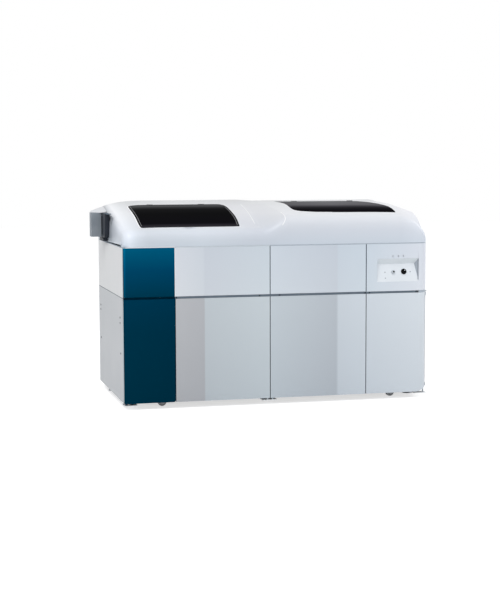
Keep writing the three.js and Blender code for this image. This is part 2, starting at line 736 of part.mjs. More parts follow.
function portCanopy() {
  const xs = [-canopyReach, canopyRound - canopyReach, -canopyReach / 2, -seat];
  const canopy = loft(xs.map((x) => ({ x, loop: [...domeProfile(x), [coverRear, coverBottom]] })));
  const high = seamLine + ridgeRise * 2;
  const outline = [
    [-canopyReach, canopyFront], [0, canopyFront], [0, coverRear - over / 2],
    [-canopyBack, coverRear - over / 2], [-canopyWaist, shroudBack],
  ];
  piece("port_canopy", canopy.intersect(raised(outline, canopyBottom, high)), white);
}
function strutCheeks() {
  const cheeks = [];
  for (const side of [strutInset, wide - strutInset]) {
    const top = surfaceZ(side, coverPivotY) - over;
    const [front, back] = [coverPivotY - cheekHalf, coverPivotY + cheekHalf];
    for (const x of [side - strutClear - strutCheek, side + strutClear]) {
      cheeks.push(block(x, x + strutCheek, front, back, coverPivotZ - cheekHalf, top));
    }
  }
  return cheeks;
}
function topCover() {
  const high = seamLine + ridgeRise * 2;
  let shell = underDome(0, 0, 0).subtract(underDome(coverThick, over, backRun));
  const seatFloor = underDome(lidSeat, over, backRun);
  for (const [, outline, x0, span, axisY, axisZ] of lids) {
    shell = shell.subtract(raised(outline, coverBottom + over, high).subtract(seatFloor));
    shell = shell.subtract(raised(inset(outline, lidLedge), coverBottom, high));
    for (const share of lidKnuckleShares) {
      const base = [x0 + span * share - lidGap, axisY, axisZ];
      const reach = lidKnuckle + lidKnucklePlay;
      shell = shell.subtract(bar(reach, lidKnuckleLong + lidGap * 2, base, alongX, smallSides));
    }
  }
  for (const x of [leftKnuckleX, rightKnuckleX]) {
    const web = [hingeZ - webThick / 2, hingeZ + webThick / 4];
    shell = shell.add(bar(hingeRadius, knuckleLong, [x, hingeY, hingeZ], alongX, smallSides));
    shell = shell.add(block(x, x + knuckleLong, coverRear - webThick, hingeY, ...web));
  }
  shell = shell.subtract(block(-over, coverThick + over, portFront, portBack, portBottom, portTop));
  const fingerX = leftWindowX + fingerIn;
  const finger = new THREE.SphereGeometry(1, smallSides, smallSides / 2);
  finger.scale(fingerHalf, fingerAcross, fingerDeep);
  finger.translate(fingerX, fingerY, surfaceZ(fingerX, fingerY));
  shell = shell.subtract(solidOf(finger));
  piece("top_cover", joinAll([shell, ...strutCheeks()]), white);
}
function windowLids() {
  const plate = underDome(0, 0, 0).subtract(underDome(lidThick, over, backRun));
  for (const [name, outline, x0, span, axisY, axisZ] of lids) {
    let lid = plate.intersect(raised(inset(outline, lidGap), coverBottom + over, seamLine + ridgeRise * 2));
    for (const share of lidKnuckleShares) {
      const base = [x0 + span * share, axisY, axisZ];
      lid = lid.add(bar(lidKnuckle, lidKnuckleLong, base, alongX, smallSides));
    }
    piece(name, lid, tinted);
  }
}
function samplingPort() {
  const top = canopyBottom - seat;
  const box = block(-shroudLeft, -shroudRight, shroudFront, shroudBack, shroudBottom, top);
  const hollow = block(-shroudLeft + shroudWall, -shroudRight + over, shroudFront + shroudWall,
    shroudBack - shroudWall, shroudBottom + shroudWall, top - shroudWall);
  piece("sampling_port_shroud", box.subtract(hollow), steel);
  const frameOuter = block(-shroudRight + seat, -seat, throatFront, shroudBack, throatBottom, top);
  const mouth = block(-shroudRight - over, over, portFront + shroudWall, portBack - shroudWall,
    portBottom + shroudWall, portTop - shroudWall);
  const slot = block(-shroudRight + seat + throatWall, -seat - throatWall, throatFront - over,
    portFront + shroudWall + over, portBottom + shroudWall, portTop - shroudWall);
  piece("sampling_port_throat", frameOuter.subtract(mouth).subtract(slot), dark);
}

// Rear hood behind the hinge line
function rearHood() {
  const bottom = highTop + seat;
  const stationAt = (x, depth) => {
    const factor = endFactor(x);
    const front = coverRear + hoodGap;
    const loop = hoodProfileShares.map(([share, rise]) => [
      front + share * (deep - front), coverBottom + ridgeRise * rise * factor,
    ]);
    loop[0] = [loop[0][0], bottom];
    loop[loop.length - 1] = [loop[loop.length - 1][0], bottom];
    if (depth === 0) return { x, loop };
    const moved = inset(loop.slice().reverse(), depth).reverse();
    moved[0] = [moved[0][0] - backRun, bottom - over];
    moved[1] = [moved[1][0] - backRun, moved[1][1]];
    moved[moved.length - 1] = [moved[moved.length - 1][0], bottom - over];
    const half = wide / 2;
    return { x: half + ((x - half) * (half - depth)) / half, loop: moved };
  };
  const xs = domeStations().filter((x) => x < leftEndReach + over || x > wide - rightEndReach - over);
  let hood = loft(xs.map((x) => stationAt(x, 0))).subtract(loft(xs.map((x) => stationAt(x, hoodThick))));
  for (const x of [leftKnuckleX, rightKnuckleX]) {
    const half = knuckleLong / 2;
    const first = x - half - knuckleGap;
    const room = (knuckleLong + knuckleGap) * 2;
    hood = hood.subtract(bar(hingeRadius + knuckleGap, room, [first, hingeY, hingeZ], alongX, smallSides));
    for (const start of [first, x + knuckleLong + knuckleGap]) {
      hood = hood.add(bar(hingeRadius, half, [start, hingeY, hingeZ], alongX, smallSides));
      hood = hood.add(block(start, start + half, hingeY, hingeY + hingeRadius + webThick,
        hingeZ - webThick / 2, hingeZ + webThick / 4));
    }
  }
  piece("rear_hood", hood, white);
}

// Deck plate with spindles, wash cups and strut brackets
const deckFront = 24;
const rimTall = 16;
const deckLeft = 24;
const deckRightCut = 60;
const spindleRadius = 12;
const spindleTall = 20;
const cupRadius = 14;
const cupBore = 9;
const cupTall = 26;
const cupFloor = 3;
const rowLeft = 130;
const rowRight = 150;
const trayGapLeft = 70;
const trayGapRight = 62;
const ionGap = 52;
const ionWide = 260;
const leftTrayLess = 16;
const middleTrayMore = 4;
const rightTrayMore = 12;
const trayForward = 16.5;
const leftTrayForward = 30;
const trayRoom = wide - rowLeft - trayGapLeft - trayGapRight - ionGap - ionWide - rowRight;
const trayMean = trayRoom / 6;
const leftTrayRadius = trayMean - leftTrayLess;
const middleTrayRadius = trayMean + middleTrayMore;
const rightTrayRadius = trayMean + rightTrayMore;
const leftTrayX = rowLeft + leftTrayRadius;
const middleTrayX = leftTrayX + leftTrayRadius + trayGapLeft + middleTrayRadius;
const rightTrayX = middleTrayX + middleTrayRadius + trayGapRight + rightTrayRadius;
const trayY = (deckFront + coverRear) / 2 - trayForward;
const leftTrayY = trayY - leftTrayForward;
const leftPostNear = 30;
const leftPostRise = 210;
const rightPostNear = 40;
const rightPostRise = 220;
const leftPostX = leftTrayX + leftTrayRadius + leftPostNear;
const leftPostY = leftTrayY + leftPostRise;
const rightPostX = middleTrayX + middleTrayRadius + rightPostNear;
const rightPostY = trayY + rightPostRise;
const leftArmLong = 170;
const rightArmLong = 180;
const postRadius = 13;
const postPlay = 0.5;
const postSleeve = 20;
const sleeveTall = 28;
const sleeveRun = 60;
const deckPivotRise = 32;
const deckPivotZ = deckTop + deckPivotRise;
const deckPivotRadius = 4;
function deckPlate() {
  const right = wide - deckLeft;
  const outline = [
    [deckLeft, deckFront], [right - deckRightCut, deckFront], [right, deckFront + deckRightCut],
    [right, deep - deckLeft], [deckLeft, deep - deckLeft],
  ];
  const floor = raised(inset(outline, sheet), deckTop, deckTop + rimTall * 2);
  let deck = raised(outline, deckBottom, deckTop + rimTall).subtract(floor);
  for (const [x, y] of [[leftTrayX, leftTrayY], [middleTrayX, trayY], [rightTrayX, trayY]]) {
    deck = deck.add(bar(spindleRadius, spindleTall + over, [x, y, deckTop - over]));
  }
  const posts = [[leftPostX, leftPostY], [rightPostX, rightPostY]];
  for (const [x, y] of posts) {
    deck = deck.add(bar(postSleeve, sleeveTall + over, [x, y, deckTop - over]));
    deck = deck.subtract(bar(postRadius + postPlay, sleeveRun * 2, [x, y, deckTop - sleeveRun]));
  }
  for (const x of [strutInset, wide - strutInset]) {
    const inner = x < wide / 2 ? x + strutClear : x - strutClear - strutCheek;
    deck = deck.add(block(inner, inner + strutCheek, deckPivotY - cheekHalf, deckPivotY + cheekHalf,
      deckTop - over, deckPivotZ + cheekHalf));
    const half = strutClear / 2;
    const start = x < wide / 2 ? x - half : x - strutClear - over;
    const pin = [start, deckPivotY, deckPivotZ];
    deck = deck.add(bar(deckPivotRadius, strutClear + half + over, pin, alongX, smallSides));
  }
  piece("deck_plate", deck, steel);
}

// Wash cups where the probes rest
function washCups() {
  const cups = [
    ["wash_cup_1", leftPostX, leftPostY - leftArmLong],
    ["wash_cup_2", rightPostX, rightPostY - rightArmLong],
  ];
  const profile = [
    [0, 0], [cupRadius, 0], [cupRadius, cupTall], [cupBore, cupTall], [cupBore, cupFloor], [0, cupFloor],
  ];
  for (const [name, x, y] of cups) {
    piece(name, turned(profile, [x, y, deckTop + seat], upright, smallSides), white);
  }
}

// Trays: sample tray with tubes, reaction tray with its channel, reagent tray with bottles
const trayThick = 27;
const trayPlay = 0.4;
const trayLift = 0.5;
const tubeCount = 14;
const tubeRadius = 7;
const tubeProud = 13;
const tubeEdge = 24;
const holeSides = 8;
const channelEdge = 10;
const channelWide = 24;
const channelDeep = 22;
const bottleCount = 12;
const bottleInner = 70;
const bottleEdge = 12;
const bottleAcross = 30;
const bottleProud = 13;
const knobRadius = 16;
const knobTall = 18;
const knobGrip = 9;
const knobHollow = 32;
function trayBody(x, y, radius) {
  const z0 = deckTop + trayLift;
  const tray = bar(radius, trayThick, [x, y, z0], upright, traySides);
  let knob = bar(knobRadius, knobTall + over, [x, y, z0 + trayThick - over], upright, smallSides);
  for (const side of [-1, 1]) {
    const base = [x, y + side * (knobHollow + knobGrip), z0 + trayThick + over];
    knob = knob.subtract(bar(knobHollow, knobTall, base, upright, smallSides));
  }
  const socket = bar(spindleRadius + trayPlay, spindleTall + trayPlay + over, [x, y, z0 - over]);
  return tray.add(knob).subtract(socket);
}
function sampleTray(top) {
  let tray = trayBody(leftTrayX, leftTrayY, leftTrayRadius);
  const row = leftTrayRadius - tubeEdge;
  for (let i = 0; i < tubeCount; i += 1) {
    const angle = (2 * Math.PI * i) / tubeCount;
    const base = [leftTrayX + row * Math.cos(angle), leftTrayY + row * Math.sin(angle), top - over];
    tray = tray.add(bar(tubeRadius, tubeProud + over, base, upright, holeSides));
  }
  piece("sample_tray", tray, silver);
}
function reactionTray(top) {
  const outer = middleTrayRadius - channelEdge;
  const inner = outer - channelWide;
  const section = [[inner, 0], [outer, 0], [outer, trayThick], [inner, trayThick], [inner, 0]];
  const groove = turned(section, [middleTrayX, trayY, top - channelDeep], upright, traySides);
  piece("reaction_tray", trayBody(middleTrayX, trayY, middleTrayRadius).subtract(groove), silver);
}
function reagentTray(top) {
  let tray = trayBody(rightTrayX, trayY, rightTrayRadius);
  const outer = rightTrayRadius - bottleEdge;
  for (let i = 0; i < bottleCount; i += 1) {
    const bottle = new THREE.BoxGeometry(outer - bottleInner, bottleAcross, bottleProud + over);
    bottle.translate((outer + bottleInner) / 2, 0, 0);
    bottle.rotateZ((2 * Math.PI * i) / bottleCount);
    bottle.translate(rightTrayX, trayY, top + (bottleProud - over) / 2);
    tray = tray.add(solidOf(bottle));
  }
  piece("reagent_tray", tray, silver);
}
function trays() {
  const top = deckTop + trayLift + trayThick;
  sampleTray(top);
  reactionTray(top);
  reagentTray(top);
}

// Pipetting and mixing arms: a lifting post with a swinging arm on top
const armRise = 65;
const armBottom = deckTop + armRise;
const neckTall = 10;
const postTop = armBottom + neckTall;
const postDown = 60;
const armTall = 22;
const armHalf = 15;
const armTail = 30;
const probeRadius = 2;
const probeDrop = 15;
const neckRadius = 9;
const neckPlay = 0.4;
function arm(name, x, y, long) {
  const shoulder = armBottom - seat;
  const post = bar(postRadius, shoulder - (deckTop - postDown), [x, y, deckTop - postDown]);
  const neck = bar(neckRadius, postTop - shoulder + over, [x, y, shoulder - over]);
  piece(name + "_post", post.add(neck), steel);
  const front = y - long - armTail;
  let body = block(x - armHalf, x + armHalf, front, y + armTail, armBottom, armBottom + armTall);
  const tip = [x, y - long, armBottom - probeDrop];
  body = body.add(bar(probeRadius, probeDrop + over, tip, upright, holeSides));
  const socket = bar(neckRadius + neckPlay, postTop - armBottom + neckPlay + over, [x, y, armBottom - over]);
  piece(name, body.subtract(socket), white);
}
function arms() {
  arm("sample_arm", leftPostX, leftPostY, leftArmLong);
  arm("reagent_arm", rightPostX, rightPostY, rightArmLong);
}

// Gas struts between the deck and the cover
const strutRadius = 10;
const strutStart = 14;
const rodRadius = 4;
const rodPlay = 0.4;
const eyeRadius = 9;
const eyeHalf = 5;
const rodInside = 210;
function struts() {
  const run = new THREE.Vector3(0, coverPivotY - deckPivotY, coverPivotZ - deckPivotZ);
  const whole = run.length();
  const way = run.normalize();
  const toward = way.toArray();
  const rodStart = strutStart + strutLong - rodInside;
  for (const [name, x] of [["left_strut", strutInset], ["right_strut", wide - strutInset]]) {
    const at = (far) => [x, deckPivotY + way.y * far, deckPivotZ + way.z * far];
    const [low, high] = [deckPivotRadius + rodPlay, rodRadius + rodPlay];
    let body = bar(strutRadius, strutLong, at(strutStart), toward);
    body = body.add(bar(eyeRadius, eyeHalf * 2, [x - eyeHalf, deckPivotY, deckPivotZ], alongX, smallSides));
    body = body.add(bar(rodRadius, strutStart + over, at(0), toward, smallSides));
    const pivot = [x - eyeHalf * 2, deckPivotY, deckPivotZ];
    body = body.subtract(bar(low, eyeHalf * 4, pivot, alongX, smallSides));
    body = body.subtract(bar(high, strutLong, at(rodStart - rodPlay), toward, smallSides));
    piece(name + "_body", body, dark);
    const rod = bar(rodRadius, whole - rodStart, at(rodStart), toward, smallSides);
    const eye = bar(eyeRadius, eyeHalf * 2, [x - eyeHalf, coverPivotY, coverPivotZ], alongX, smallSides);
    piece(name + "_rod", rod.add(eye), steel);
  }
}

// Inside the cabinet: detergent bottle, waste tank, power supply, syringe pumps; ion module and wash unit on the deck
const shelfZ = plateTop + seat;
const bottleWide = 230;
const bottleDeep = 190;
const bottleTall = 260;
const bottleNeck = 24;
const bottleCap = 30;
const bottleRound = 18;
const bottleY = 250;
const bottleNear = 60;
function roundedBox(x0, x1, y0, y1, z0, z1, radius) {
  const corners = [
    [x1 - radius, y0 + radius, -Math.PI / 2], [x1 - radius, y1 - radius, 0],
    [x0 + radius, y1 - radius, Math.PI / 2], [x0 + radius, y0 + radius, Math.PI],
  ];
  const outline = [];
  const arcSteps = 3;
  for (const [cx, cy, start] of corners) {
    for (let i = 0; i <= arcSteps; i += 1) {
      const angle = start + (Math.PI / 2) * (i / arcSteps);
      outline.push([cx + radius * Math.cos(angle), cy + radius * Math.sin(angle)]);
    }
  }
  return raised(outline, z0, z1);
}
const tankNear = 84.5;
const tankNeckIn = 120;
const tankWide = 300;
const tankFront = 220;
const tankDeep = 420;
const tankTall = 240;
const supplyNear = 66;
const supplyWide = 190;
const supplyRear = 440;
const supplyDeep = 300;
const ventTall = 2;
const supplyTall = 200;
const pumpLeft = 90;
const pumpWide = 140;
const pumpFront = 170;
const pumpDeep = 120;
const pumpTall = 300;
const syringeCount = 3;
const syringeRadius = 9;
const syringeTall = 150;
const syringeRise = 100;
const ionFront = 190;
const ionDeep = 210;
const ionTall = 90;
const washIn = 40;
const washWide = 60;
const washRear = 5;
const washDeep = 44;
const washTall = 70;
const washRound = 9;
function detergentBottle() {
  const x = leftEdge + bottleNear;
  const top = shelfZ + bottleTall;
  const bottle = roundedBox(x, x + bottleWide, bottleY, bottleY + bottleDeep, shelfZ, top, bottleRound);
  const cap = bar(bottleNeck, bottleCap + over, [x + bottleWide / 2, bottleY + bottleDeep / 2, top - over]);
  piece("detergent_bottle", bottle.add(cap), ivory);
}
function wasteTank() {
  const left = middleEdge + tankNear;
  const top = shelfZ + tankTall;
  const tank = roundedBox(left, left + tankWide, tankFront, tankFront + tankDeep, shelfZ, top, bottleRound);
  const cap = bar(bottleNeck, bottleCap + over, [left + tankWide / 2, tankFront + tankNeckIn, top - over]);
  piece("waste_tank", tank.add(cap), ivory);
}
function powerSupply() {
  const left = rightEdge + supplyNear;
  const front = deep - supplyRear;
  let supply = block(left, left + supplyWide, front, front + supplyDeep, shelfZ, shelfZ + supplyTall);
  const [ventLeft, ventRight] = [left + slotPitch, left + supplyWide - slotPitch];
  for (let i = 1; i <= slotRows; i += 1) {
    const z = shelfZ + (supplyTall * i) / (slotRows + 1);
    supply = supply.subtract(block(ventLeft, ventRight, front - over, front + sheet, z, z + ventTall));
  }
  piece("power_supply", supply, steel);
}
function syringePumps() {
  let pump = block(pumpLeft, pumpLeft + pumpWide, pumpFront, pumpFront + pumpDeep, shelfZ, shelfZ + pumpTall);
  for (let i = 0; i < syringeCount; i += 1) {
    const x = pumpLeft + (pumpWide * (i + 1 / 2)) / syringeCount;
    const base = [x, pumpFront - syringeRadius / 2, shelfZ + syringeRise];
    pump = pump.add(bar(syringeRadius, syringeTall, base, upright, smallSides));
  }
  piece("syringe_pump_block", pump, steel);
}
function deckUnits() {
  const level = deckTop + seat;
  const ionLeft = rightTrayX + rightTrayRadius + ionGap;
  const ionBack = ionFront + ionDeep;
  const ion = roundedBox(ionLeft, ionLeft + ionWide, ionFront, ionBack, level, level + ionTall, bottleRound);
  piece("ion_module", ion, ivory);
  const washLeft = middleTrayX - washIn;
  const washBack = coverRear - washRear;
  const [x1, y0] = [washLeft + washWide, washBack - washDeep];
  piece("cuvette_washer", roundedBox(washLeft, x1, y0, washBack, level, level + washTall, washRound), silver);
}

// Levelling feet under the side rails, casters under the front and rear rails
const padRadius = 30;
const padTopRadius = 24;
const padTall = 12;
const stemRadius = 8;
const nutRadius = 14;
const nutTall = 10;
const footFront = 190;
const footRear = 170;
const casterX = 200;
const wheelRadius = 23;
const wheelWide = 18;
const wheelLift = 2;
const axleRadius = 4;
const axlePlay = 0.4;
const trail = 14;
const forkThick = 3;
const forkGap = 1;
const swivelRadius = 20;
const swivelTall = 5;
function feet() {
  const xs = [frameLeft + tube / 2, wide - frameLeft - tube / 2];
  let number = 1;
  for (const y of [footFront, deep - footRear]) {
    for (const x of xs) {
      const top = ringBottom - seat;
      let foot = bar(padRadius, padTall, [x, y, 0], upright, roundSides, padTopRadius);
      foot = foot.add(bar(stemRadius, top - padTall + over, [x, y, padTall - over], upright, smallSides));
      foot = foot.add(bar(nutRadius, nutTall, [x, y, top - nutTall], upright, hexSides));
      piece("levelling_foot_" + number, foot, steel);
      number += 1;
    }
  }
}
function caster(number, x, y) {
  const top = ringBottom - seat;
  const platform = top - swivelTall;
  const half = wheelWide / 2 + forkGap;
  const lug = axleRadius * 2;
  const [hubX, hubZ] = [x + trail, wheelLift + wheelRadius];
  const [near, far] = [y - half - forkThick, y + half];
  let fork = bar(swivelRadius, swivelTall, [x, y, platform]);
  const plateLeft = x - swivelRadius / 2;
  fork = fork.add(block(plateLeft, hubX + lug, near, far + forkThick, platform - forkThick, platform + over));
  for (const y0 of [near, far]) {
    fork = fork.add(block(hubX - lug, hubX + lug, y0, y0 + forkThick, hubZ - lug, platform));
  }
  fork = fork.add(bar(axleRadius, (half + forkThick) * 2, [hubX, near, hubZ], alongY, smallSides));
  piece("caster_fork_" + number, fork, steel);
  const wheel = bar(wheelRadius, wheelWide, [hubX, y - wheelWide / 2, hubZ], alongY);
  const bore = bar(axleRadius + axlePlay, wheelWide * 2, [hubX, y - wheelWide, hubZ], alongY, smallSides);
  piece("caster_wheel_" + number, wheel.subtract(bore), dark);
}
function casters() {
  let number = 1;
  for (const y of [frameFront + tube / 2, deep - frameBack - tube / 2]) {
    for (const x of [casterX, wide - casterX]) {
      caster(number, x, y);
      number += 1;
    }
  }
}

frames();
deckPlate();
sidePanels();
rearPanels();
upperPanels();
controlPanel();
buttons();
doors();
topCover();
portCanopy();
windowLids();
samplingPort();
rearHood();
struts();
washCups();
trays();
arms();
detergentBottle();
wasteTank();
powerSupply();
syringePumps();
deckUnits();
feet();
casters();

// The machine stands with the middle of its box over the origin; each mesh sits at its own middle
const machine = new THREE.Group();
machine.position.set((canopyReach - wide) / 2, -deep / 2, 0);
for (const { name, solid, finish } of pieces) {
  const { vertProperties, triVerts } = solid.getMesh();
  const geometry = new THREE.BufferGeometry();
  geometry.setAttribute("position", new THREE.BufferAttribute(vertProperties, 3));
  geometry.setIndex(new THREE.BufferAttribute(triVerts, 1));
  geometry.computeBoundingBox();
  const middle = geometry.boundingBox.getCenter(new THREE.Vector3());
  geometry.translate(-middle.x, -middle.y, -middle.z);
  geometry.computeVertexNormals();
  const mesh = new THREE.Mesh(geometry, new THREE.MeshStandardMaterial(finish));
  mesh.name = name;
  mesh.position.copy(middle);
  machine.add(mesh);
}

const group = new THREE.Group();
group.add(machine);

export default group;
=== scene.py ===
import bisect
import json
import math
import bmesh
import bpy
from mathutils import Matrix, Vector
from mathutils.geometry import delaunay_2d_cdt


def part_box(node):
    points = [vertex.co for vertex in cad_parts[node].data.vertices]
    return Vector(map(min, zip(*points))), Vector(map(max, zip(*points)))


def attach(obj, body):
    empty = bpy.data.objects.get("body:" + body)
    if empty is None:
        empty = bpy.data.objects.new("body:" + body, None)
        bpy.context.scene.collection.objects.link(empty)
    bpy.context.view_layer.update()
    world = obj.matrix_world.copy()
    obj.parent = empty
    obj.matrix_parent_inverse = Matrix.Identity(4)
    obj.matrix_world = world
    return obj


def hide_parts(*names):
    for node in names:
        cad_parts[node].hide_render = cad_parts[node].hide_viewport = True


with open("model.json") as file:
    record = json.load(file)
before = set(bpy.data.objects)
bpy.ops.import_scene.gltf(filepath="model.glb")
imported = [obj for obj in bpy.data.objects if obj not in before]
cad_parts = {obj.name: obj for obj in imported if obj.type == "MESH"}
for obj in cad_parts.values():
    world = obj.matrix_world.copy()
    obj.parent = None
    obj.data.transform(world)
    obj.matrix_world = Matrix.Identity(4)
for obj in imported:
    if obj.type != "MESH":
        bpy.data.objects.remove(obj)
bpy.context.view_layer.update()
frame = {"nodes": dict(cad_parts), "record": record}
print("frame loaded:", len(frame["nodes"]), "nodes")

# Everything is in metres. Places on the machine are given from its left front corner at the floor:
# x along the front, y into the depth, z up.
wide = 1.660
deep = 0.860
corner = Vector((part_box("top_cover")[1].x - wide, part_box("rear_lower_panel")[1].y - deep, 0))


def at(x, y, z):
    return corner + Vector((x, y, z))


def colourOf(text):
    parts = [int(text[i:i + 2], 16) / 255 for i in (1, 3, 5)]
    return (*(p / 12.92 if p <= 0.04045 else ((p + 0.055) / 1.055) ** 2.4 for p in parts), 1)


# Shader node with settings of its own and values for its inputs
def addNode(tree, kind, values=None, **settings):
    node = tree.nodes.new("ShaderNode" + kind)
    for key, value in settings.items():
        setattr(node, key, value)
    for key, value in (values or {}).items():
        node.inputs[key].default_value = value
    return node


def newObject(name, data):
    made = bpy.data.objects.new(name, data)
    bpy.context.scene.collection.objects.link(made)
    return made


# Camera at the photograph's place
photoCamera = {"place": (-1.1686, -7.2979, 1.2826), "yaw": 14.1151, "pitch": 5.5148, "roll": -0.1589,
               "lens": 87.0, "sensor": 36.0, "farthest": 60}


def makeCamera():
    data = bpy.data.cameras.new("photo_camera")
    data.lens, data.sensor_width = photoCamera["lens"], photoCamera["sensor"]
    data.clip_end = photoCamera["farthest"]
    camera = newObject("photo_camera", data)
    yaw, pitch, roll = (math.radians(photoCamera[k]) for k in ("yaw", "pitch", "roll"))
    turn = Matrix.Rotation(-yaw, 4, "Z") @ Matrix.Rotation(math.pi / 2 - pitch, 4, "X")
    camera.matrix_world = Matrix.Translation(at(*photoCamera["place"])) @ turn @ Matrix.Rotation(roll, 4, "Z")
    bpy.context.scene.camera = camera


# Plain studio: pale floor, soft lamps, white surroundings
studio = {"floorSize": 40.0, "floorColour": "#E6E6E6", "floorGlow": 0.65, "white": (1, 1, 1, 1),
          "skyColour": (0.97, 0.985, 1.0, 1), "skyLight": 0.5, "aim": (0, 0, 0.6),
          "lamps": {"key_lamp": {"power": 210.0, "size": 5.0, "place": (-3.0, -3.5, 5.5)},
                    "fill_lamp": {"power": 60.0, "size": 4.0, "place": (4.5, -4.0, 2.5)},
                    "end_lamp": {"power": 45.0, "size": 2.5, "place": (4.6, 0.5, 3.2)}}}


# One for rays that show the surroundings themselves, zero for rays that only bring their light
def seenDirectly(tree):
    path = addNode(tree, "LightPath")
    share = path.outputs["Is Camera Ray"]
    for ray in ("Is Glossy Ray", "Is Transmission Ray"):
        either = addNode(tree, "Math", operation="MAXIMUM")
        tree.links.new(share, either.inputs[0])
        tree.links.new(path.outputs[ray], either.inputs[1])
        share = either.outputs[0]
    return share


def makeWorld():
    world = bpy.data.worlds.new("studio")
    bpy.context.scene.world = world
    world.use_nodes = True
    tree = world.node_tree
    tree.nodes.clear()
    soft = addNode(tree, "Background", {"Color": studio["skyColour"], "Strength": studio["skyLight"]})
    plain = addNode(tree, "Background", {"Color": studio["white"]})
    mix = addNode(tree, "MixShader")
    for i, output in enumerate((seenDirectly(tree), soft.outputs[0], plain.outputs[0])):
        tree.links.new(output, mix.inputs[i])
    tree.links.new(mix.outputs[0], addNode(tree, "OutputWorld").inputs[0])


def areaLamp(name, power, size, place):
    data = bpy.data.lights.new(name, "AREA")
    data.energy, data.size, data.shape = power, size, "DISK"
    lamp = newObject(name, data)
    lamp.location = place
    lamp.rotation_euler = (Vector(studio["aim"]) - Vector(place)).to_track_quat("-Z", "Y").to_euler()


def makeFloor():
    half = studio["floorSize"] / 2
    mesh = bpy.data.meshes.new("floor")
    corners = [(-half, -half, 0), (half, -half, 0), (half, half, 0), (-half, half, 0)]
    mesh.from_pydata(corners, [], [(0, 1, 2, 3)])
    floor = newObject("floor", mesh)
    material = bpy.data.materials.new("studio_floor")
    material.use_nodes = True
    tree = material.node_tree
    tree.nodes.clear()
    cloth = addNode(tree, "BsdfDiffuse", {"Color": colourOf(studio["floorColour"])})
    glow = addNode(tree, "Emission", {"Color": studio["white"]})
    strength = addNode(tree, "Math", {1: studio["floorGlow"]}, operation="MULTIPLY")
    total = addNode(tree, "AddShader")
    tree.links.new(seenDirectly(tree), strength.inputs[0])
    tree.links.new(strength.outputs[0], glow.inputs["Strength"])
    tree.links.new(cloth.outputs[0], total.inputs[0])
    tree.links.new(glow.outputs[0], total.inputs[1])
    tree.links.new(total.outputs[0], addNode(tree, "OutputMaterial").inputs[0])
    mesh.materials.append(material)


bpy.context.scene.view_settings.view_transform = "Standard"
makeCamera()
makeWorld()
for name, lamp in studio["lamps"].items():
    areaLamp(name, **lamp)
makeFloor()
print("studio ready")


# Finishes. Each one is a principled shader with its own small pattern.
def newFinish(name, colour, roughness, metallic=0.0, coat=0.0, specular=0.5):
    material = bpy.data.materials.new(name)
    material.use_nodes = True
    values = {"Base Color": colourOf(colour), "Roughness": roughness, "Metallic": metallic,
              "Coat Weight": coat, "Specular IOR Level": specular}
    for key, value in values.items():
        material.node_tree.nodes["Principled BSDF"].inputs[key].default_value = value
    return material


def feed(material, output, key):
    tree = material.node_tree
    tree.links.new(output, tree.nodes["Principled BSDF"].inputs[key])


def places(material):
    tree = material.node_tree
    return (tree.nodes.get("places") or addNode(tree, "TexCoord", name="places")).outputs["Object"]


# Most of a noise pattern lies within the span
noise = {"span": (0.3, 0.7), "colourDetail": 3.0, "reliefDetail": 4.0, "even": (1, 1, 1)}


def pattern(material, scale, detail, stretch=noise["even"]):
    tree = material.node_tree
    mapping = addNode(tree, "Mapping", {"Scale": stretch})
    texture = addNode(tree, "TexNoise", {"Scale": scale, "Detail": detail})
    tree.links.new(places(material), mapping.inputs["Vector"])
    tree.links.new(mapping.outputs[0], texture.inputs["Vector"])
    return texture.outputs["Fac"]


def mapped(material, factor, fromSpan, toSpan=(0, 1)):
    values = dict(zip(("From Min", "From Max", "To Min", "To Max"), (*fromSpan, *toSpan)))
    node = addNode(material.node_tree, "MapRange", values)
    material.node_tree.links.new(factor, node.inputs["Value"])
    return node.outputs[0]


def ramp(material, factor, stops):
    node = addNode(material.node_tree, "ValToRGB")
    elements = node.color_ramp.elements
    while len(elements) < len(stops):
        elements.new(0.5)
    for element, (place, colour) in zip(elements, stops):
        element.position, element.color = place, colourOf(colour)
    material.node_tree.links.new(factor, node.inputs["Fac"])
    return node.outputs["Color"]


# Colour that drifts between two near tones
def drift(material, lowTone, highTone, scale, stretch=noise["even"]):
    stops = list(zip(noise["span"], (lowTone, highTone)))
    colour = ramp(material, pattern(material, scale, noise["colourDetail"], stretch), stops)
    feed(material, colour, "Base Color")


# Fine relief, such as the texture of sprayed paint or moulded plastic
def grain(material, scale, height, stretch=noise["even"]):
    bump = addNode(material.node_tree, "Bump", {"Strength": 1.0, "Distance": height})
    relief = pattern(material, scale, noise["reliefDetail"], stretch)
    material.node_tree.links.new(relief, bump.inputs["Height"])
    feed(material, bump.outputs["Normal"], "Normal")


# Roughness that varies a little, as on a handled surface
def handled(material, low, high, scale):
    factor = pattern(material, scale, noise["colourDetail"])
    feed(material, mapped(material, factor, noise["span"], (low, high)), "Roughness")


# Tones along one axis of the machine: [(place in metres, colour), ...]
def tonesAlong(material, axis, tones):
    first, last = tones[0][0], tones[-1][0]
    offset = corner["xyz".index(axis)]
    split = addNode(material.node_tree, "SeparateXYZ")
    material.node_tree.links.new(places(material), split.inputs[0])
    factor = mapped(material, split.outputs["xyz".index(axis)], (first + offset, last + offset))
    return ramp(material, factor, [((place - first) / (last - first), colour) for place, colour in tones])


# Colour that is the product of two others, wholly or by a share
def multiplied(material, one, other, share=None):
    tree = material.node_tree
    mix = addNode(tree, "Mix", data_type="RGBA", blend_type="MULTIPLY")
    mix.inputs["Factor"].default_value = 1.0
    if share:
        tree.links.new(share, mix.inputs["Factor"])
    tree.links.new(one, mix.inputs["A"])
    tree.links.new(other, mix.inputs["B"])
    feed(material, mix.outputs["Result"], "Base Color")
    return mix.outputs["Result"]


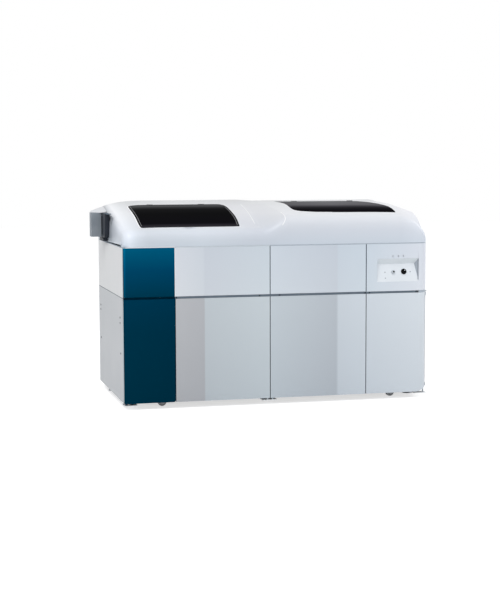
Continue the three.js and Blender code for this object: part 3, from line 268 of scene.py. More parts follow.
paints = {
    "silver": {"look": {"colour": "#C9D1D9", "roughness": 0.46, "metallic": 0.12, "coat": 0.12},
               "grain": (900.0, 0.00004), "handled": (0.42, 0.5, 6.0)},
    "blue": {"look": {"colour": "#00466A", "roughness": 0.35, "specular": 0.0}, "grain": (700.0, 0.00002)},
    "side": {"look": {"colour": "#D4D5D7", "roughness": 0.5}, "grain": (600.0, 0.00003),
             "handled": (0.46, 0.54, 5.0)},
    "shell": {"look": {"colour": "#E3E5E9", "roughness": 0.4, "coat": 0.08}, "grain": (500.0, 0.00002),
              "handled": (0.36, 0.44, 4.0)},
    "tint": {"look": {"colour": "#121115", "roughness": 0.16, "specular": 0.0}, "grain": (40.0, 0.00001)},
}


def painted(name, kind):
    paint = paints[kind]
    material = newFinish(name, **paint["look"])
    grain(material, *paint["grain"])
    if "handled" in paint:
        handled(material, *paint["handled"])
    return material


# Paints whose tone changes along two axes of the machine: name, kind, and tones along each axis. Silver
# carries a painted reflection of a room in wide bands across the front, and painted shade that falls a little
# in tone downwards. Blue has painted shade that darkens it downwards, and a painted highlight on the rounded
# edge at the left. The upper side panels are painted lighter than the lower ones, for the light they catch.
# The tinted panes carry a painted reflection of the horizon that makes them lighter along the rear edge, and
# are lighter in a band near the front.
tonedPaints = {
    "silverUpper": ("silver_paint_upper", "silver", {
        "x": [(0.270, "#D9DDE3"), (0.42, "#D1D7DE"), (0.425, "#CCD2DA"), (0.775, "#CFD8DF"),
              (0.7765, "#D1D9E1"), (1.140, "#C9D0D9"), (1.150, "#CCD5DE"), (1.304, "#CFD9E2"),
              (1.66, "#DFE3EB")],
        "z": [(0.58, "#FFFFFF"), (0.84, "#FAFBFD")]}),
    "silverLower": ("silver_paint_lower", "silver", {
        "x": [(0.270, "#B7B9BD"), (0.4225, "#B2B4B9"), (0.4235, "#BEC6CC"), (0.775, "#C6CFD5"),
              (0.7765, "#C3CCD3"), (1.138, "#B7BEC6"), (1.150, "#CAD2DA"), (1.304, "#CFD7DF"),
              (1.66, "#D9E0E7")],
        "z": [(0.03, "#F0F1F2"), (0.57, "#FFFFFF")]}),
    "blueUpper": ("blue_paint_upper", "blue", {
        "z": [(0.584, "#004C68"), (0.72, "#005B84"), (0.84, "#0078A2")],
        "x": [(0.0, "#FFFFFF"), (0.004, "#FFFFFF"), (0.016, "#C4C6C8"), (0.27, "#BCC0C4")]}),
    "blueLower": ("blue_paint_lower", "blue", {
        "z": [(0.03, "#003246"), (0.40, "#00344A"), (0.572, "#003852")],
        "x": [(0.0, "#FFFFFF"), (0.27, "#F0F2F4")]}),
    "sidePaint": ("side_paint", "side", {
        "z": [(0.03, "#C4C7CB"), (0.572, "#CDD0D3"), (0.582, "#E9EAEB"), (0.84, "#EDEEEF")],
        "y": [(0.0, "#FAFAFB"), (0.86, "#FFFFFF")]}),
    "lidTintLeft": ("lid_tint_left", "tint", {
        "y": [(0.086, "#34343A"), (0.108, "#36363B"), (0.122, "#2E2C31"), (0.150, "#252328"),
              (0.172, "#121115"), (0.36, "#131314"), (0.45, "#1A1A1B"), (0.49, "#343435"),
              (0.515, "#525253"), (0.552, "#4C4C4D")],
        "x": [(0.1, "#FFFFFF"), (0.66, "#FAFAFC")]}),
    "lidTintRight": ("lid_tint_right", "tint", {
        "y": [(0.102, "#121115"), (0.16, "#100F13"), (0.25, "#1D1C20"), (0.31, "#2B2A2E"),
              (0.36, "#454348"), (0.43, "#6D6C70"), (0.60, "#7A7A7D")],
        "x": [(0.93, "#DADADA"), (1.25, "#FFFFFF"), (1.56, "#E6E6E6")]}),
}


def makeToned(name, kind, tones):
    material = painted(name, kind)
    multiplied(material, *(tonesAlong(material, axis, tones[axis]) for axis in tones))
    return material


# White shell with painted light and shade: bluish and darker towards its foot, lightest at its shoulder and a
# little darker on top, lighter towards its right end, with a painted highlight round its left front edge. The
# left end wall has painted shade that darkens towards the sampling port; a share keeps that off the rest.
shellTones = {
    "z": [(0.84, "#E2EBF6"), (0.92, "#ECF1FA"), (1.0, "#FAFBFF"), (1.03, "#F6F7FA"), (1.06, "#E8E9EA")],
    "x": [(-0.081, "#E4E4E5"), (-0.001, "#E2E3E4"), (0.004, "#F0F1F2"), (0.009, "#FFFFFF"),
          (0.032, "#FFFFFF"), (0.050, "#F8F9F9"), (0.080, "#ECEDED"), (0.13, "#E2E3E3"),
          (0.22, "#E4E5E5"), (0.40, "#E8E9E9"), (0.70, "#E2E2E3"), (0.90, "#E5E6E7"),
          (1.50, "#E9EAEB"), (1.62, "#F2F2F3")],
    "wall": [(0.0, "#FFFFFF"), (0.17, "#F6F7F8"), (0.36, "#D6D8DA"), (0.385, "#C6C8CA"), (0.44, "#D6D8DA"),
             (0.689, "#D6D8DA")],
    "wallShadeShare": [(-0.001, "#000000"), (0.0, "#FFFFFF"), (0.003, "#FFFFFF"), (0.030, "#000000")],
}


def makeShell():
    material = painted("shell_paint", "shell")
    front = multiplied(material, *(tonesAlong(material, axis, shellTones[axis]) for axis in "zx"))
    wall = tonesAlong(material, "y", shellTones["wall"])
    multiplied(material, front, wall, tonesAlong(material, "x", shellTones["wallShadeShare"]))
    return material


# Brushed steel: its patterns are drawn out along the brushing
brushed = {"metallic": 0.9, "scale": 12.0, "stretch": (1, 40, 1), "relief": (60.0, 0.00003),
           "reliefStretch": (1, 60, 1)}


def makeBrushed(name, lowTone, highTone, roughness):
    material = newFinish(name, lowTone, roughness, metallic=brushed["metallic"])
    drift(material, lowTone, highTone, brushed["scale"], brushed["stretch"])
    grain(material, *brushed["relief"], brushed["reliefStretch"])
    return material


# Other finishes: two near tones, roughness, scale of the drift between the tones, and what differs from
# the rest
plainRelief = (600.0, 0.00003)
plainFinishes = {
    "lidLine": ("#5C5C5F", "#646467", 0.4, 20.0, {"specular": 0.1}),
    "greyPlastic": ("#858D96", "#8F969E", 0.55, 20.0, {"relief": (900.0, 0.00008)}),
    "darkPlastic": ("#2A2E36", "#343942", 0.5, 30.0, {"relief": (900.0, 0.00006), "specular": 0.15}),
    "buttonBlack": ("#060709", "#0C0D10", 0.3, 60.0, {"specular": 0.06}),
    "buttonGrey": ("#B9C0C7", "#C3CAD1", 0.35, 60.0, {}),
    # painted light and shade in the recess of the control panel: floor and brow lighter, wall darker
    "recessFloor": ("#E3E9EF", "#E8EDF3", 0.5, 10.0, {}),
    "recessBrow": ("#DDE4EA", "#E2E9EE", 0.5, 10.0, {}),
    "recessWall": ("#9FA8B2", "#AAB2BC", 0.5, 10.0, {}),
    "framePaint": ("#A9AEB3", "#B2B7BC", 0.55, 14.0, {"relief": (500.0, 0.0001), "metallic": 0.1}),
    "basePaint": ("#E4E6E8", "#EBEDEE", 0.6, 14.0, {"relief": (500.0, 0.0001)}),
    "whitePlastic": ("#D9DBDC", "#E2E3E4", 0.4, 12.0, {"relief": (700.0, 0.00005)}),
    "trayPlastic": ("#8F969C", "#9BA2A8", 0.42, 18.0, {"relief": (700.0, 0.00005)}),
    "bottlePlastic": ("#D3D7D2", "#DEE1DC", 0.45, 9.0, {"relief": (300.0, 0.0001)}),
    "brightSteel": ("#BFC2C5", "#CBCDD0", 0.2, 40.0, {"relief": (200.0, 0.00001), "metallic": 1.0}),
    "plainSteel": ("#8D9196", "#9A9DA2", 0.42, 25.0, {"relief": (300.0, 0.00004), "metallic": 0.9}),
    "supplyCase": ("#9DA1A5", "#A9ADB1", 0.45, 16.0, {"relief": (400.0, 0.00005), "metallic": 0.7}),
    "strutBlack": ("#17181A", "#1F2022", 0.32, 25.0, {"coat": 0.2}),
    "rubber": ("#C6C8CA", "#CED0D2", 0.7, 60.0, {"relief": (300.0, 0.0002)}),
    "lampGrey": ("#A7AEB6", "#B5BBC2", 0.3, 60.0, {"coat": 0.3}),
    "indicator": ("#C0C8CF", "#C8CFD6", 0.4, 60.0, {}),
    # painted highlights: the glint on the power button, and the bright rims, beads and seam strip
    "glint": ("#E6EAEE", "#EEF1F4", 0.3, 60.0, {}),
    "rimBright": ("#F6F7F9", "#FCFCFD", 0.35, 20.0, {}),
    "screwDark": ("#53585E", "#60656B", 0.45, 80.0, {"metallic": 0.5}),
    # painted highlight on the left side of the blue panels
    "blueEdge": ("#B2C6CE", "#BCCED6", 0.5, 30.0, {"specular": 0.1}),
    # painted shadow line beside the sampling port's throat
    "portLine": ("#8B9195", "#959B9F", 0.5, 30.0, {}),
}
# Gaps and seams are coloured with painted shade, darker or lighter from gap to gap, and mirror nothing
gapShadeTones = {"gapDark": ("#66717C", "#6E7984"), "gapBlue": ("#001B2A", "#002133"),
            "gapSoft": ("#B3BDC8", "#BCC6D0"), "gapBlack": ("#1A1E23", "#22272C"),
            "seamLight": ("#C9D1D9", "#D0D8DF"), "seamDark": ("#3C4652", "#434D59")}
for key, tones in gapShadeTones.items():
    plainFinishes[key] = (*tones, 0.7, 30.0, {"specular": 0.0})


def makePlain(key, lowTone, highTone, roughness, scale, more):
    name = "".join("_" + letter.lower() if letter.isupper() else letter for letter in key)
    look = {k: value for k, value in more.items() if k != "relief"}
    material = newFinish(name, lowTone, roughness, **look)
    drift(material, lowTone, highTone, scale)
    grain(material, *more.get("relief", plainRelief))
    return material


finishes = {key: makeToned(*values) for key, values in tonedPaints.items()}
finishes["shell"] = makeShell()
finishes["deckSteel"] = makeBrushed("deck_steel", "#A9ADB1", "#B9BCC0", 0.38)
for key, values in plainFinishes.items():
    finishes[key] = makePlain(key, *values)
print("finishes ready:", len(finishes))


# Mesh tools
meshSizes = {"join": 0.00002, "flatAngle": 0.8, "least": 1e-6}


def newPiece(name, mesh, body, finish, nodes=()):
    piece = newObject(name, mesh)
    mesh.materials.append(finishes[finish])
    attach(piece, body)
    if nodes:
        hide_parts(*nodes)
    return piece


def smoothed(mesh, angle=34):
    mesh.polygons.foreach_set("use_smooth", [True] * len(mesh.polygons))
    mesh.set_sharp_from_angle(angle=math.radians(angle))


def applied(piece):
    depsgraph = bpy.context.evaluated_depsgraph_get()
    mesh = bpy.data.meshes.new_from_object(piece.evaluated_get(depsgraph), preserve_all_data_layers=True,
                                           depsgraph=depsgraph)
    piece.modifiers.clear()
    piece.data = mesh


def settled(piece, angle=34, weighted=False):
    applied(piece)
    smoothed(piece.data, angle)
    if weighted:
        # big faces keep their own normal next to narrow rounded edges
        piece.modifiers.new("normals", "WEIGHTED_NORMAL").keep_sharp = True
        applied(piece)


def rounded(piece, width, segments=2, angle=40):
    bevel = piece.modifiers.new("edges", "BEVEL")
    bevel.width, bevel.segments = width, segments
    bevel.limit_method, bevel.angle_limit = "ANGLE", math.radians(angle)
    bevel.use_clamp_overlap = True
    bevel.miter_outer = "MITER_ARC"


def thickened(piece, thick):
    wall = piece.modifiers.new("wall", "SOLIDIFY")
    wall.thickness, wall.offset = thick, -1


def meshOf(form, name):
    mesh = bpy.data.meshes.new(name)
    form.to_mesh(mesh)
    form.free()
    return mesh


slotOf = {row["node"]: row["material_slot"] for row in frame["record"]["subparts"]}
bodyOf = {node: body for body, members in frame["record"]["behaviour"]["bodies"].items() for node in members}


# A CAD solid with its flat faces whole again and its edges eased; with no width it keeps its drawn edges
def eased(node, finish, width=0.0012, segments=2, reshape=None):
    form = bmesh.new()
    form.from_mesh(frame["nodes"][node].data)
    bmesh.ops.remove_doubles(form, verts=form.verts, dist=meshSizes["join"])
    if width:
        bmesh.ops.dissolve_limit(form, angle_limit=math.radians(meshSizes["flatAngle"]), verts=form.verts,
                                 edges=form.edges)
    if reshape:
        reshape(form)
    name = node + "_shown"
    piece = newPiece(name, meshOf(form, name), bodyOf[node], finish, [node])
    if width:
        rounded(piece, width, segments)
        settled(piece, weighted=True)
    else:
        piece.data.shade_flat()
    return piece


# Turned piece: profile of (radius, height) points round an axis that starts at a place
def turnedPiece(name, profile, place, way, body, finish, nodes=(), sides=32):
    form = bmesh.new()
    turn = Vector((0, 0, 1)).rotation_difference(way)
    rings = []
    for radius, height in profile:
        ring = []
        for i in range(sides if radius > meshSizes["least"] else 1):
            angle = 2 * math.pi * i / sides
            spoke = Vector((radius * math.cos(angle), radius * math.sin(angle), height))
            ring.append(form.verts.new(place + turn @ spoke))
        rings.append(ring)
    for low, high in zip(rings, rings[1:]):
        for i in range(sides):
            k = (i + 1) % sides
            corners = [low[i % len(low)], low[k % len(low)], high[k % len(high)], high[i % len(high)]]
            face = [v for n, v in enumerate(corners) if v not in corners[:n]]
            if len(face) > 2:
                form.faces.new(face)
    bmesh.ops.recalc_face_normals(form, faces=form.faces)
    piece = newPiece(name, meshOf(form, name), body, finish, nodes)
    smoothed(piece.data)
    return piece


# Cap profile: a short cylinder with its top edge rounded and a low crown
capSteps = 4
crownShares = (0.45, 0.8)


def capProfile(radius, height, edge, crown=0.0):
    profile = [(0, 0), (radius, 0), (radius, height - edge)]
    for i in range(1, capSteps + 1):
        turn = math.pi / 2 * i / capSteps
        profile.append((radius - edge * (1 - math.cos(turn)), height - edge * (1 - math.sin(turn))))
    return profile + [(radius * crownShares[0], height + crown * crownShares[1]), (0, height + crown)]


# Bar: a turned piece along x
bar = {"edge": 0.0005, "sides": 20}


def barPiece(name, place, radius, long, body, finish, slot):
    edge, inner = bar["edge"], radius - bar["edge"]
    ends = [(0, 0), (inner, 0), (radius, edge), (radius, long - edge), (inner, long), (0, long)]
    turnedPiece(name, ends, at(*place), Vector((1, 0, 0)), body, finish, sides=bar["sides"])


# Box between two places on the machine
def slab(name, low, high, body, finish, slot, edge=0.0):
    form = bmesh.new()
    bmesh.ops.create_cube(form, size=1)
    low, high = at(*low), at(*high)
    for v in form.verts:
        v.co = Vector(((low[i] + high[i]) / 2 + v.co[i] * (high[i] - low[i]) for i in range(3)))
    piece = newPiece(name, meshOf(form, name), body, finish)
    if edge:
        rounded(piece, edge)
        settled(piece)
    return piece


print("tools ready")

# Dome: side profiles as shares of the cover's depth and ridge, as in the drawing
dome = {
    "deep": 0.689, "bottom": 0.8415, "ridge": 0.2205,
    "leftProfile": [(0, 0), (0, 0.172), (0.0116, 0.29), (0.0436, 0.376), (0.1016, 0.422), (0.1524, 0.4354),
                    (0.4789, 0.671), (0.8128, 0.909), (0.9289, 0.984), (0.981, 0.988), (1, 0.945)],
    "rightProfile": [(0, 0), (0, 0.417), (0.0116, 0.558), (0.0436, 0.653), (0.0987, 0.7075), (0.1524, 0.7324),
                     (0.4789, 0.834), (0.8128, 0.93), (0.9289, 0.9547), (0.981, 0.957), (1, 0.92)],
    "saddle": (0.745, 0.872), "leftReach": 0.300, "leftShare": 0.868, "leftPower": 4,
    "rightReach": 0.450, "rightShare": 0.893, "rightPower": 3.8, "cornerReach": 0.165, "cornerPower": 1.85,
    "cornerFrom": 0.0615, "cornerTo": 0.259, "canopyFall": 0.49, "corners": (0.050, 0.070),
    "edges": {"left": (0.034, 0.500, 0.540), "right": (0.022, 0.640, 0.689)}, "edgeFull": 0.080,
    "softBlend": 0.6, "thick": 0.008, "rows": 64, "columns": 96, "cornerSteps": 15, "roundSteps": 14,
    "leastStep": 0.0006, "normalStep": 0.002, "normalRow": 0.2, "halvings": 30,
}


def between(one, two, start, end, t):
    return one * ((end - t) / (end - start)) + two * ((t - start) / (end - start))


# Centripetal curve through the points, with count + 1 even steps
def curveThrough(points, count):
    ends = [Vector(points[0]) * 2 - Vector(points[1])] + [Vector(p) for p in points]
    ends.append(ends[-1] * 2 - ends[-2])
    knots = [0.0]
    for one, two in zip(ends, ends[1:]):
        knots.append(knots[-1] + max((two - one).length, 1e-5) ** 0.5)
    low, high = knots[1], knots[-2]
    made = []
    for step in range(count + 1):
        t = low + (high - low) * step / count
        k = min(max(bisect.bisect_right(knots, t) - 1, 1), len(ends) - 3)
        p, q = ends[k - 1:k + 3], knots[k - 1:k + 3]
        a = [between(p[i], p[i + 1], q[i], q[i + 1], t) for i in range(3)]
        b = [between(a[i], a[i + 1], q[i], q[i + 2], t) for i in range(2)]
        made.append(between(b[0], b[1], q[1], q[2], t))
    return made


def sideCurve(key):
    return curveThrough([(y * dome["deep"], z * dome["ridge"]) for y, z in dome[key]], dome["rows"])


leftCurve, rightCurve = sideCurve("leftProfile"), sideCurve("rightProfile")


# Share of the height that is left towards the two ends; the right end falls away more at the front
def endFactor(x, y):
    leftReach, rightReach, cornerReach = dome["leftReach"], dome["rightReach"], dome["cornerReach"]
    if x < leftReach:
        part = (leftReach - x) / leftReach
        if part > 1:
            return dome["leftShare"] - (part - 1) * dome["canopyFall"]
        return dome["leftShare"] + (1 - dome["leftShare"]) * (1 - part ** dome["leftPower"])
    if x < wide - rightReach:
        return 1.0
    part = min(1, (x - wide + rightReach) / rightReach)
    near = min(1, max(0, (x - wide + cornerReach) / cornerReach))
    along = 1 - min(1, max(0, (y - dome["cornerFrom"]) / (dome["cornerTo"] - dome["cornerFrom"])))
    power = dome["cornerPower"]
    fall = dome["rightShare"] * along * along * (1 - (1 - near ** power) ** (1 / power))
    return 1 - (1 - dome["rightShare"]) * part ** dome["rightPower"] - fall


# How far the front edge lies back where it rounds the two front corners
def cornerInset(x):
    left, right = dome["corners"]
    for size, distance in ((left, x), (right, wide - x)):
        if distance < size:
            part = 1 - max(distance, 0) / size
            return size * (1 - math.sqrt(max(0, 1 - part * part)))
    return 0.0


# Fall of the surface where its ends are rounded over into the end walls; it fades out before the rear
def edgeFall(x, y, rise):
    fall = 0.0
    for side, distance in (("left", x), ("right", wide - x)):
        reach, start, stop = dome["edges"][side]
        if 0 <= distance < reach and y < stop:
            part = 1 - distance / reach
            hold = min(1, (stop - y) / (stop - start))
            fall = reach * (1 - math.sqrt(1 - part * part)) * hold * hold * (3 - 2 * hold)
    return fall * min(1, rise / dome["edgeFull"])


# Point of the dome at x and at a row number that may lie between rows
def domePoint(x, row):
    start, stop = dome["saddle"]
    blend = min(1, max(0, (x - start) / (stop - start)))
    blend += dome["softBlend"] * (blend * blend * (3 - 2 * blend) - blend)
    low = min(int(row), dome["rows"] - 1)
    left, right = (curve[low].lerp(curve[low + 1], row - low) for curve in (leftCurve, rightCurve))
    y, z = left.lerp(right, blend)
    front = cornerInset(x)
    y = front + y * (dome["deep"] - front) / dome["deep"]
    rise = z * endFactor(x, y)
    return at(x, y, dome["bottom"] + rise - edgeFall(x, y, rise))


def rowAt(x, y):
    low, high = 0.0, float(dome["rows"])
    for _ in range(dome["halvings"]):
        middle = (low + high) / 2
        if domePoint(x, middle).y - corner.y < y:
            low = middle
        else:
            high = middle
    return (low + high) / 2


def domeNormal(x, row):
    step, rowStep = dome["normalStep"], dome["normalRow"]
    along = domePoint(x + step, row) - domePoint(x - step, row)
    up = domePoint(x, min(row + rowStep, dome["rows"])) - domePoint(x, max(row - rowStep, 0))
    return along.cross(up).normalized()


def onDome(x, y, lift=0.0):
    row = rowAt(x, y)
    return domePoint(x, row) + domeNormal(x, row) * lift


# Window outlines in plan, as shares of their span. Bright rims, strips coloured with a painted highlight,
# follow an outline where the rim's test holds, and fine lines on the pane where a line's test holds.
windows = {
    "left": {"x": 0.112, "y": 0.0815, "wide": 0.551, "deep": 0.4705, "node": "left_window_lid",
             "body": "left_lid", "finish": "lidTintLeft",
             "shares": [(0.016, 0), (0.92, 0), (0.947, 0.017), (0.961, 0.084), (0.985, 0.294), (0.998, 0.466),
                        (1, 0.685), (0.994, 0.862), (0.976, 0.952), (0.937, 0.994), (0.886, 1), (0.114, 1),
                        (0.033, 0.988), (0.007, 0.961), (0.007, 0.869), (0.012, 0.695), (0.012, 0.496),
                        (0.004, 0.258), (0, 0.12), (0.003, 0.03)],
             "rim": lambda p: p.x < 0.122 or p.y < 0.092,
             "lines": [lambda p: p.x < 0.130 and 0.13 < p.y < 0.535,
                       lambda p: p.x > 0.640 and 0.12 < p.y < 0.50]},
    "right": {"x": 0.929, "y": 0.102, "wide": 0.635, "deep": 0.498, "node": "right_window_lid",
              "body": "right_lid", "finish": "lidTintRight",
              "shares": [(0.062, 0.195), (0.082, 0.132), (0.134, 0.088), (0.206, 0.046), (0.414, 0.018),
                         (0.677, 0.006), (0.899, 0), (0.921, 0.062), (0.972, 0.353), (1, 0.588),
                         (0.992, 0.697), (0.961, 0.819), (0.899, 0.94), (0.82, 0.996), (0.742, 1),
                         (0.045, 1), (0.046, 0.98), (0.078, 0.91), (0.093, 0.8), (0.090, 0.66),
                         (0.065, 0.40), (0.059, 0.27)],
              "rim": lambda p: p.y < 0.20 and p.x < 1.15, "lines": []},
}
lidSizes = {"gap": 0.0012, "thick": 0.0036, "edge": 0.0009, "columns": 34, "seat": 0.004, "ledge": 0.012,
            "seatOut": 0.001, "seatLow": 0.0001, "knuckle": 0.0024, "sink": 0.0004, "knuckleLong": 0.034,
            "hingeIn": 0.0022, "knuckleShares": (0.2, 0.72),
            "rim": (-0.0065, -0.0006), "rimLift": 0.0008, "rimThick": 0.0010,
            "line": (0.009, 0.0125), "lineLift": 0.0004, "lineThick": 0.0006}


def outlineOf(window):
    return [(window["x"] + a * window["wide"], window["y"] + b * window["deep"]) for a, b in window["shares"]]


# Outline with its corners rounded off and its long sides split
softening = {"reach": 0.004, "step": 0.010, "leastTurn": 0.12, "share": 2.5, "arcSteps": 3}


def softened(points):
    made = []
    count = len(points)
    for i, point in enumerate(points):
        here, before, after = (Vector(p) for p in (point, points[i - 1], points[(i + 1) % count]))
        inward, outward = (here - before), (after - here)
        most = min(inward.length, outward.length) / softening["share"]
        if inward.angle(outward, 0) > softening["leastTurn"]:
            cut = min(softening["reach"], most)
            start, end = here - inward.normalized() * cut, here + outward.normalized() * cut
            for k in range(softening["arcSteps"] + 1):
                t = k / softening["arcSteps"]
                made.append(start * (1 - t) ** 2 + here * 2 * t * (1 - t) + end * t * t)
        else:
            made.append(here)
    full = []
    for i, here in enumerate(made):
        after = made[(i + 1) % len(made)]
        pieces = max(1, int((after - here).length / softening["step"]))
        full.extend(here.lerp(after, k / pieces) for k in range(pieces))
    return full


# Outline moved inwards by a distance; the outlines here run anticlockwise
def moved(points, distance):
    made = []
    for i, here in enumerate(points):
        way = (points[(i + 1) % len(points)] - points[i - 1]).normalized()
        made.append(here + Vector((-way.y, way.x)) * distance)
    return made


def inside(point, loop):
    hit = False
    for i, a in enumerate(loop):
        b = loop[i - 1]
        if (a[1] > point[1]) != (b[1] > point[1]):
            if point[0] < (b[0] - a[0]) * (point[1] - a[1]) / (b[1] - a[1]) + a[0]:
                hit = not hit
    return hit


# Places along the cover, closer together where its ends are rounded
def domeColumns():
    reach, steps, rounds = dome["cornerReach"], dome["cornerSteps"], dome["roundSteps"]
    xs = {0.0, wide, *dome["saddle"]}
    for i in range(1, steps):
        xs.add(wide - reach * (1 - math.sin(math.pi / 2 * i / steps)))
    for i in range(rounds):
        xs.update((dome["corners"][0] * (i / rounds) ** 2, wide - dome["corners"][1] * (i / rounds) ** 2))
    first = dome["corners"][0]
    span = wide - first - reach
    xs.update(first + span * i / dome["columns"] for i in range(dome["columns"] + 1))
    kept = []
    for x in sorted(xs):
        if not kept or x - kept[-1] > dome["leastStep"]:
            kept.append(x)
    kept[-1] = wide
    return kept


def middleOf(verts, face):
    return sum((Vector(verts[i]) for i in face), Vector((0, 0))) / len(face)


# Patch of the dome inside a loop and outside of holes, filled with a fine net. Loops hold (x, row)
# points; rows are scaled to lengths while the net is made.
net = {"rowScale": 0.012, "clear": 0.0045, "tolerance": 1e-6}


def netPatch(loop, holes, columns, rows, more=()):
    points, edges = [], []
    scaled = [[(x, row * net["rowScale"]) for x, row in ring] for ring in (loop, *holes)]
    for ring in scaled:
        start = len(points)
        points.extend(Vector(p) for p in ring)
        edges.extend((start + i, start + (i + 1) % len(ring)) for i in range(len(ring)))

    def within(p):
        return inside(p, scaled[0]) and not any(inside(p, hole) for hole in scaled[1:])

    border = [p.copy() for p in points]
    for x, row in [*more, *((x, row) for x in columns for row in rows)]:
        p = Vector((x, row * net["rowScale"]))
        if within(p) and min((p - q).length_squared for q in border) > net["clear"] ** 2:
            points.append(p)
    verts, _, faces, *_ = delaunay_2d_cdt(points, edges, [], 0, net["tolerance"])
    kept = [face for face in faces if within(middleOf(verts, face))]
    return [(v[0], v[1] / net["rowScale"]) for v in verts], kept


def asRows(planLoop):
    return [(p[0], rowAt(p[0], p[1])) for p in planLoop]


# Top cover: one smooth shell with openings for the two lids and the mouth of the sampling port
coverMore = {"cutRound": 0.0014, "cutAngle": 55, "smoothAngle": 38, "join": 0.00005, "least": 1e-5,
             "mouth": {"front": 0.525, "back": 0.620, "bottom": 0.875, "top": 0.985},
             "finger": {"x": 0.362, "y": 0.060, "half": 0.042, "across": 0.021, "deep": 0.0062, "power": 4,
                        "steps": (9, 7)}}


def fingerDip(x, y):
    dip = coverMore["finger"]
    far = ((x - dip["x"]) / dip["half"]) ** 2 + ((y - dip["y"]) / dip["across"]) ** 2
    return dip["deep"] * max(0, 1 - far ** dip["power"])


def fingerCells():
    dip = coverMore["finger"]
    across, along = dip["steps"]
    rows = [rowAt(dip["x"], dip["y"] + dip["across"] * (i / along - 1)) for i in range(2 * along + 1)]
    return [(dip["x"] + dip["half"] * (i / across - 1), row) for i in range(2 * across + 1) for row in rows]


# Flat end wall under a column of the dome; the left one has the mouth of the sampling port
def addEndWall(form, x, column, withMouth):
    flat = [Vector((v.co.y, v.co.z)) for v in sorted(column, key=lambda v: (v.co.y, v.co.z))]
    flat.append(Vector((at(0, dome["deep"], 0).y, dome["bottom"])))
    edges = [(i, (i + 1) % len(flat)) for i in range(len(flat))]
    hole = []
    if withMouth:
        mouth = coverMore["mouth"]
        front, back = at(0, mouth["front"], 0).y, at(0, mouth["back"], 0).y
        hole = [Vector(p) for p in ((front, mouth["bottom"]), (back, mouth["bottom"]), (back, mouth["top"]),
                                    (front, mouth["top"]))]
        start = len(flat)
        edges += [(start + i, start + (i + 1) % 4) for i in range(4)]
    verts, _, faces, *_ = delaunay_2d_cdt(flat + hole, edges, [], 0, net["tolerance"])
    made = [form.verts.new((at(x, 0, 0).x, v[0], v[1])) for v in verts]
    for face in faces:
        middle = middleOf(verts, face)
        if inside(middle, flat) and not (hole and inside(middle, hole)):
            form.faces.new([made[i] for i in face])


def coverSkin():
    columns, rows = domeColumns(), [float(r) for r in range(dome["rows"] + 1)]
    outer = [(x, 0.0) for x in columns] + [(wide, r) for r in rows[1:-1]]
    outer += [(x, rows[-1]) for x in reversed(columns)] + [(0.0, r) for r in reversed(rows[1:-1])]
    holes = [asRows(softened(outlineOf(w))) for w in windows.values()]
    cells, faces = netPatch(outer, holes, columns[1:-1], rows[1:-1], fingerCells())
    form = bmesh.new()
    verts = []
    for x, row in cells:
        p = domePoint(x, row)
        verts.append(form.verts.new(p - Vector((0, 0, fingerDip(x, p.y - corner.y)))))
    for face in faces:
        form.faces.new([verts[i] for i in face])
    for x, withMouth in ((0.0, True), (wide, False)):
        column = [v for v, cell in zip(verts, cells) if abs(cell[0] - x) < coverMore["least"]]
        addEndWall(form, x, column, withMouth)
    bmesh.ops.remove_doubles(form, verts=form.verts, dist=coverMore["join"])
    bmesh.ops.recalc_face_normals(form, faces=form.faces)
    return form


def makeCover():
    mesh = meshOf(coverSkin(), "cover_shell")
    cover = newPiece("cover_shell", mesh, "cover", "shell", ["top_cover"])
    thickened(cover, dome["thick"])
    rounded(cover, coverMore["cutRound"], 2, coverMore["cutAngle"])
    settled(cover, coverMore["smoothAngle"], weighted=True)
    # the rounding may leave a point beyond the right end wall
    for vertex in cover.data.vertices:
        vertex.co.x = min(vertex.co.x, corner.x + wide)


makeCover()
print("cover ready")


def facingUp(form):
    bmesh.ops.recalc_face_normals(form, faces=form.faces)
    if sum(f.normal.z for f in form.faces) < 0:
        bmesh.ops.reverse_faces(form, faces=form.faces)
    return form


# Strip on the dome between two plan loops, lifted off it and solid downwards
def domeStrip(name, loops, lift, thick, body, finish, closed=False):
    form = bmesh.new()
    outer, inner = ([form.verts.new(onDome(p[0], p[1], lift)) for p in loop] for loop in loops)
    for i in range(len(outer) if closed else len(outer) - 1):
        k = (i + 1) % len(outer)
        form.faces.new([outer[i], outer[k], inner[k], inner[i]])
    piece = newPiece(name, meshOf(facingUp(form), name), body, finish)
    thickened(piece, thick)
    settled(piece, coverMore["smoothAngle"])


# Part of an outline between two distances from it, where the test holds
def stretchOf(outline, band, test):
    count = len(outline)
    picked = [test(p) for p in outline]
    run = [next(i for i in range(count) if picked[i] and not picked[i - 1])]
    while picked[(run[-1] + 1) % count]:
        run.append((run[-1] + 1) % count)
    return [[loop[i] for i in run] for loop in (moved(outline, distance) for distance in band)]


def makePane(side, outline):
    window = windows[side]
    columns = lidSizes["columns"]
    xs = [window["x"] + window["wide"] * i / columns for i in range(1, columns)]
    cells, faces = netPatch(asRows(moved(outline, lidSizes["gap"])), [], xs, range(dome["rows"]))
    form = bmesh.new()
    verts = [form.verts.new(domePoint(x, row)) for x, row in cells]
    for face in faces:
        form.faces.new([verts[i] for i in face])
    name = side + "_lid_pane"
    mesh = meshOf(facingUp(form), name)
    pane = newPiece(name, mesh, window["body"], window["finish"], [window["node"]])
    thickened(pane, lidSizes["thick"])
    rounded(pane, lidSizes["edge"], 2, coverMore["cutAngle"])
    settled(pane, coverMore["smoothAngle"])


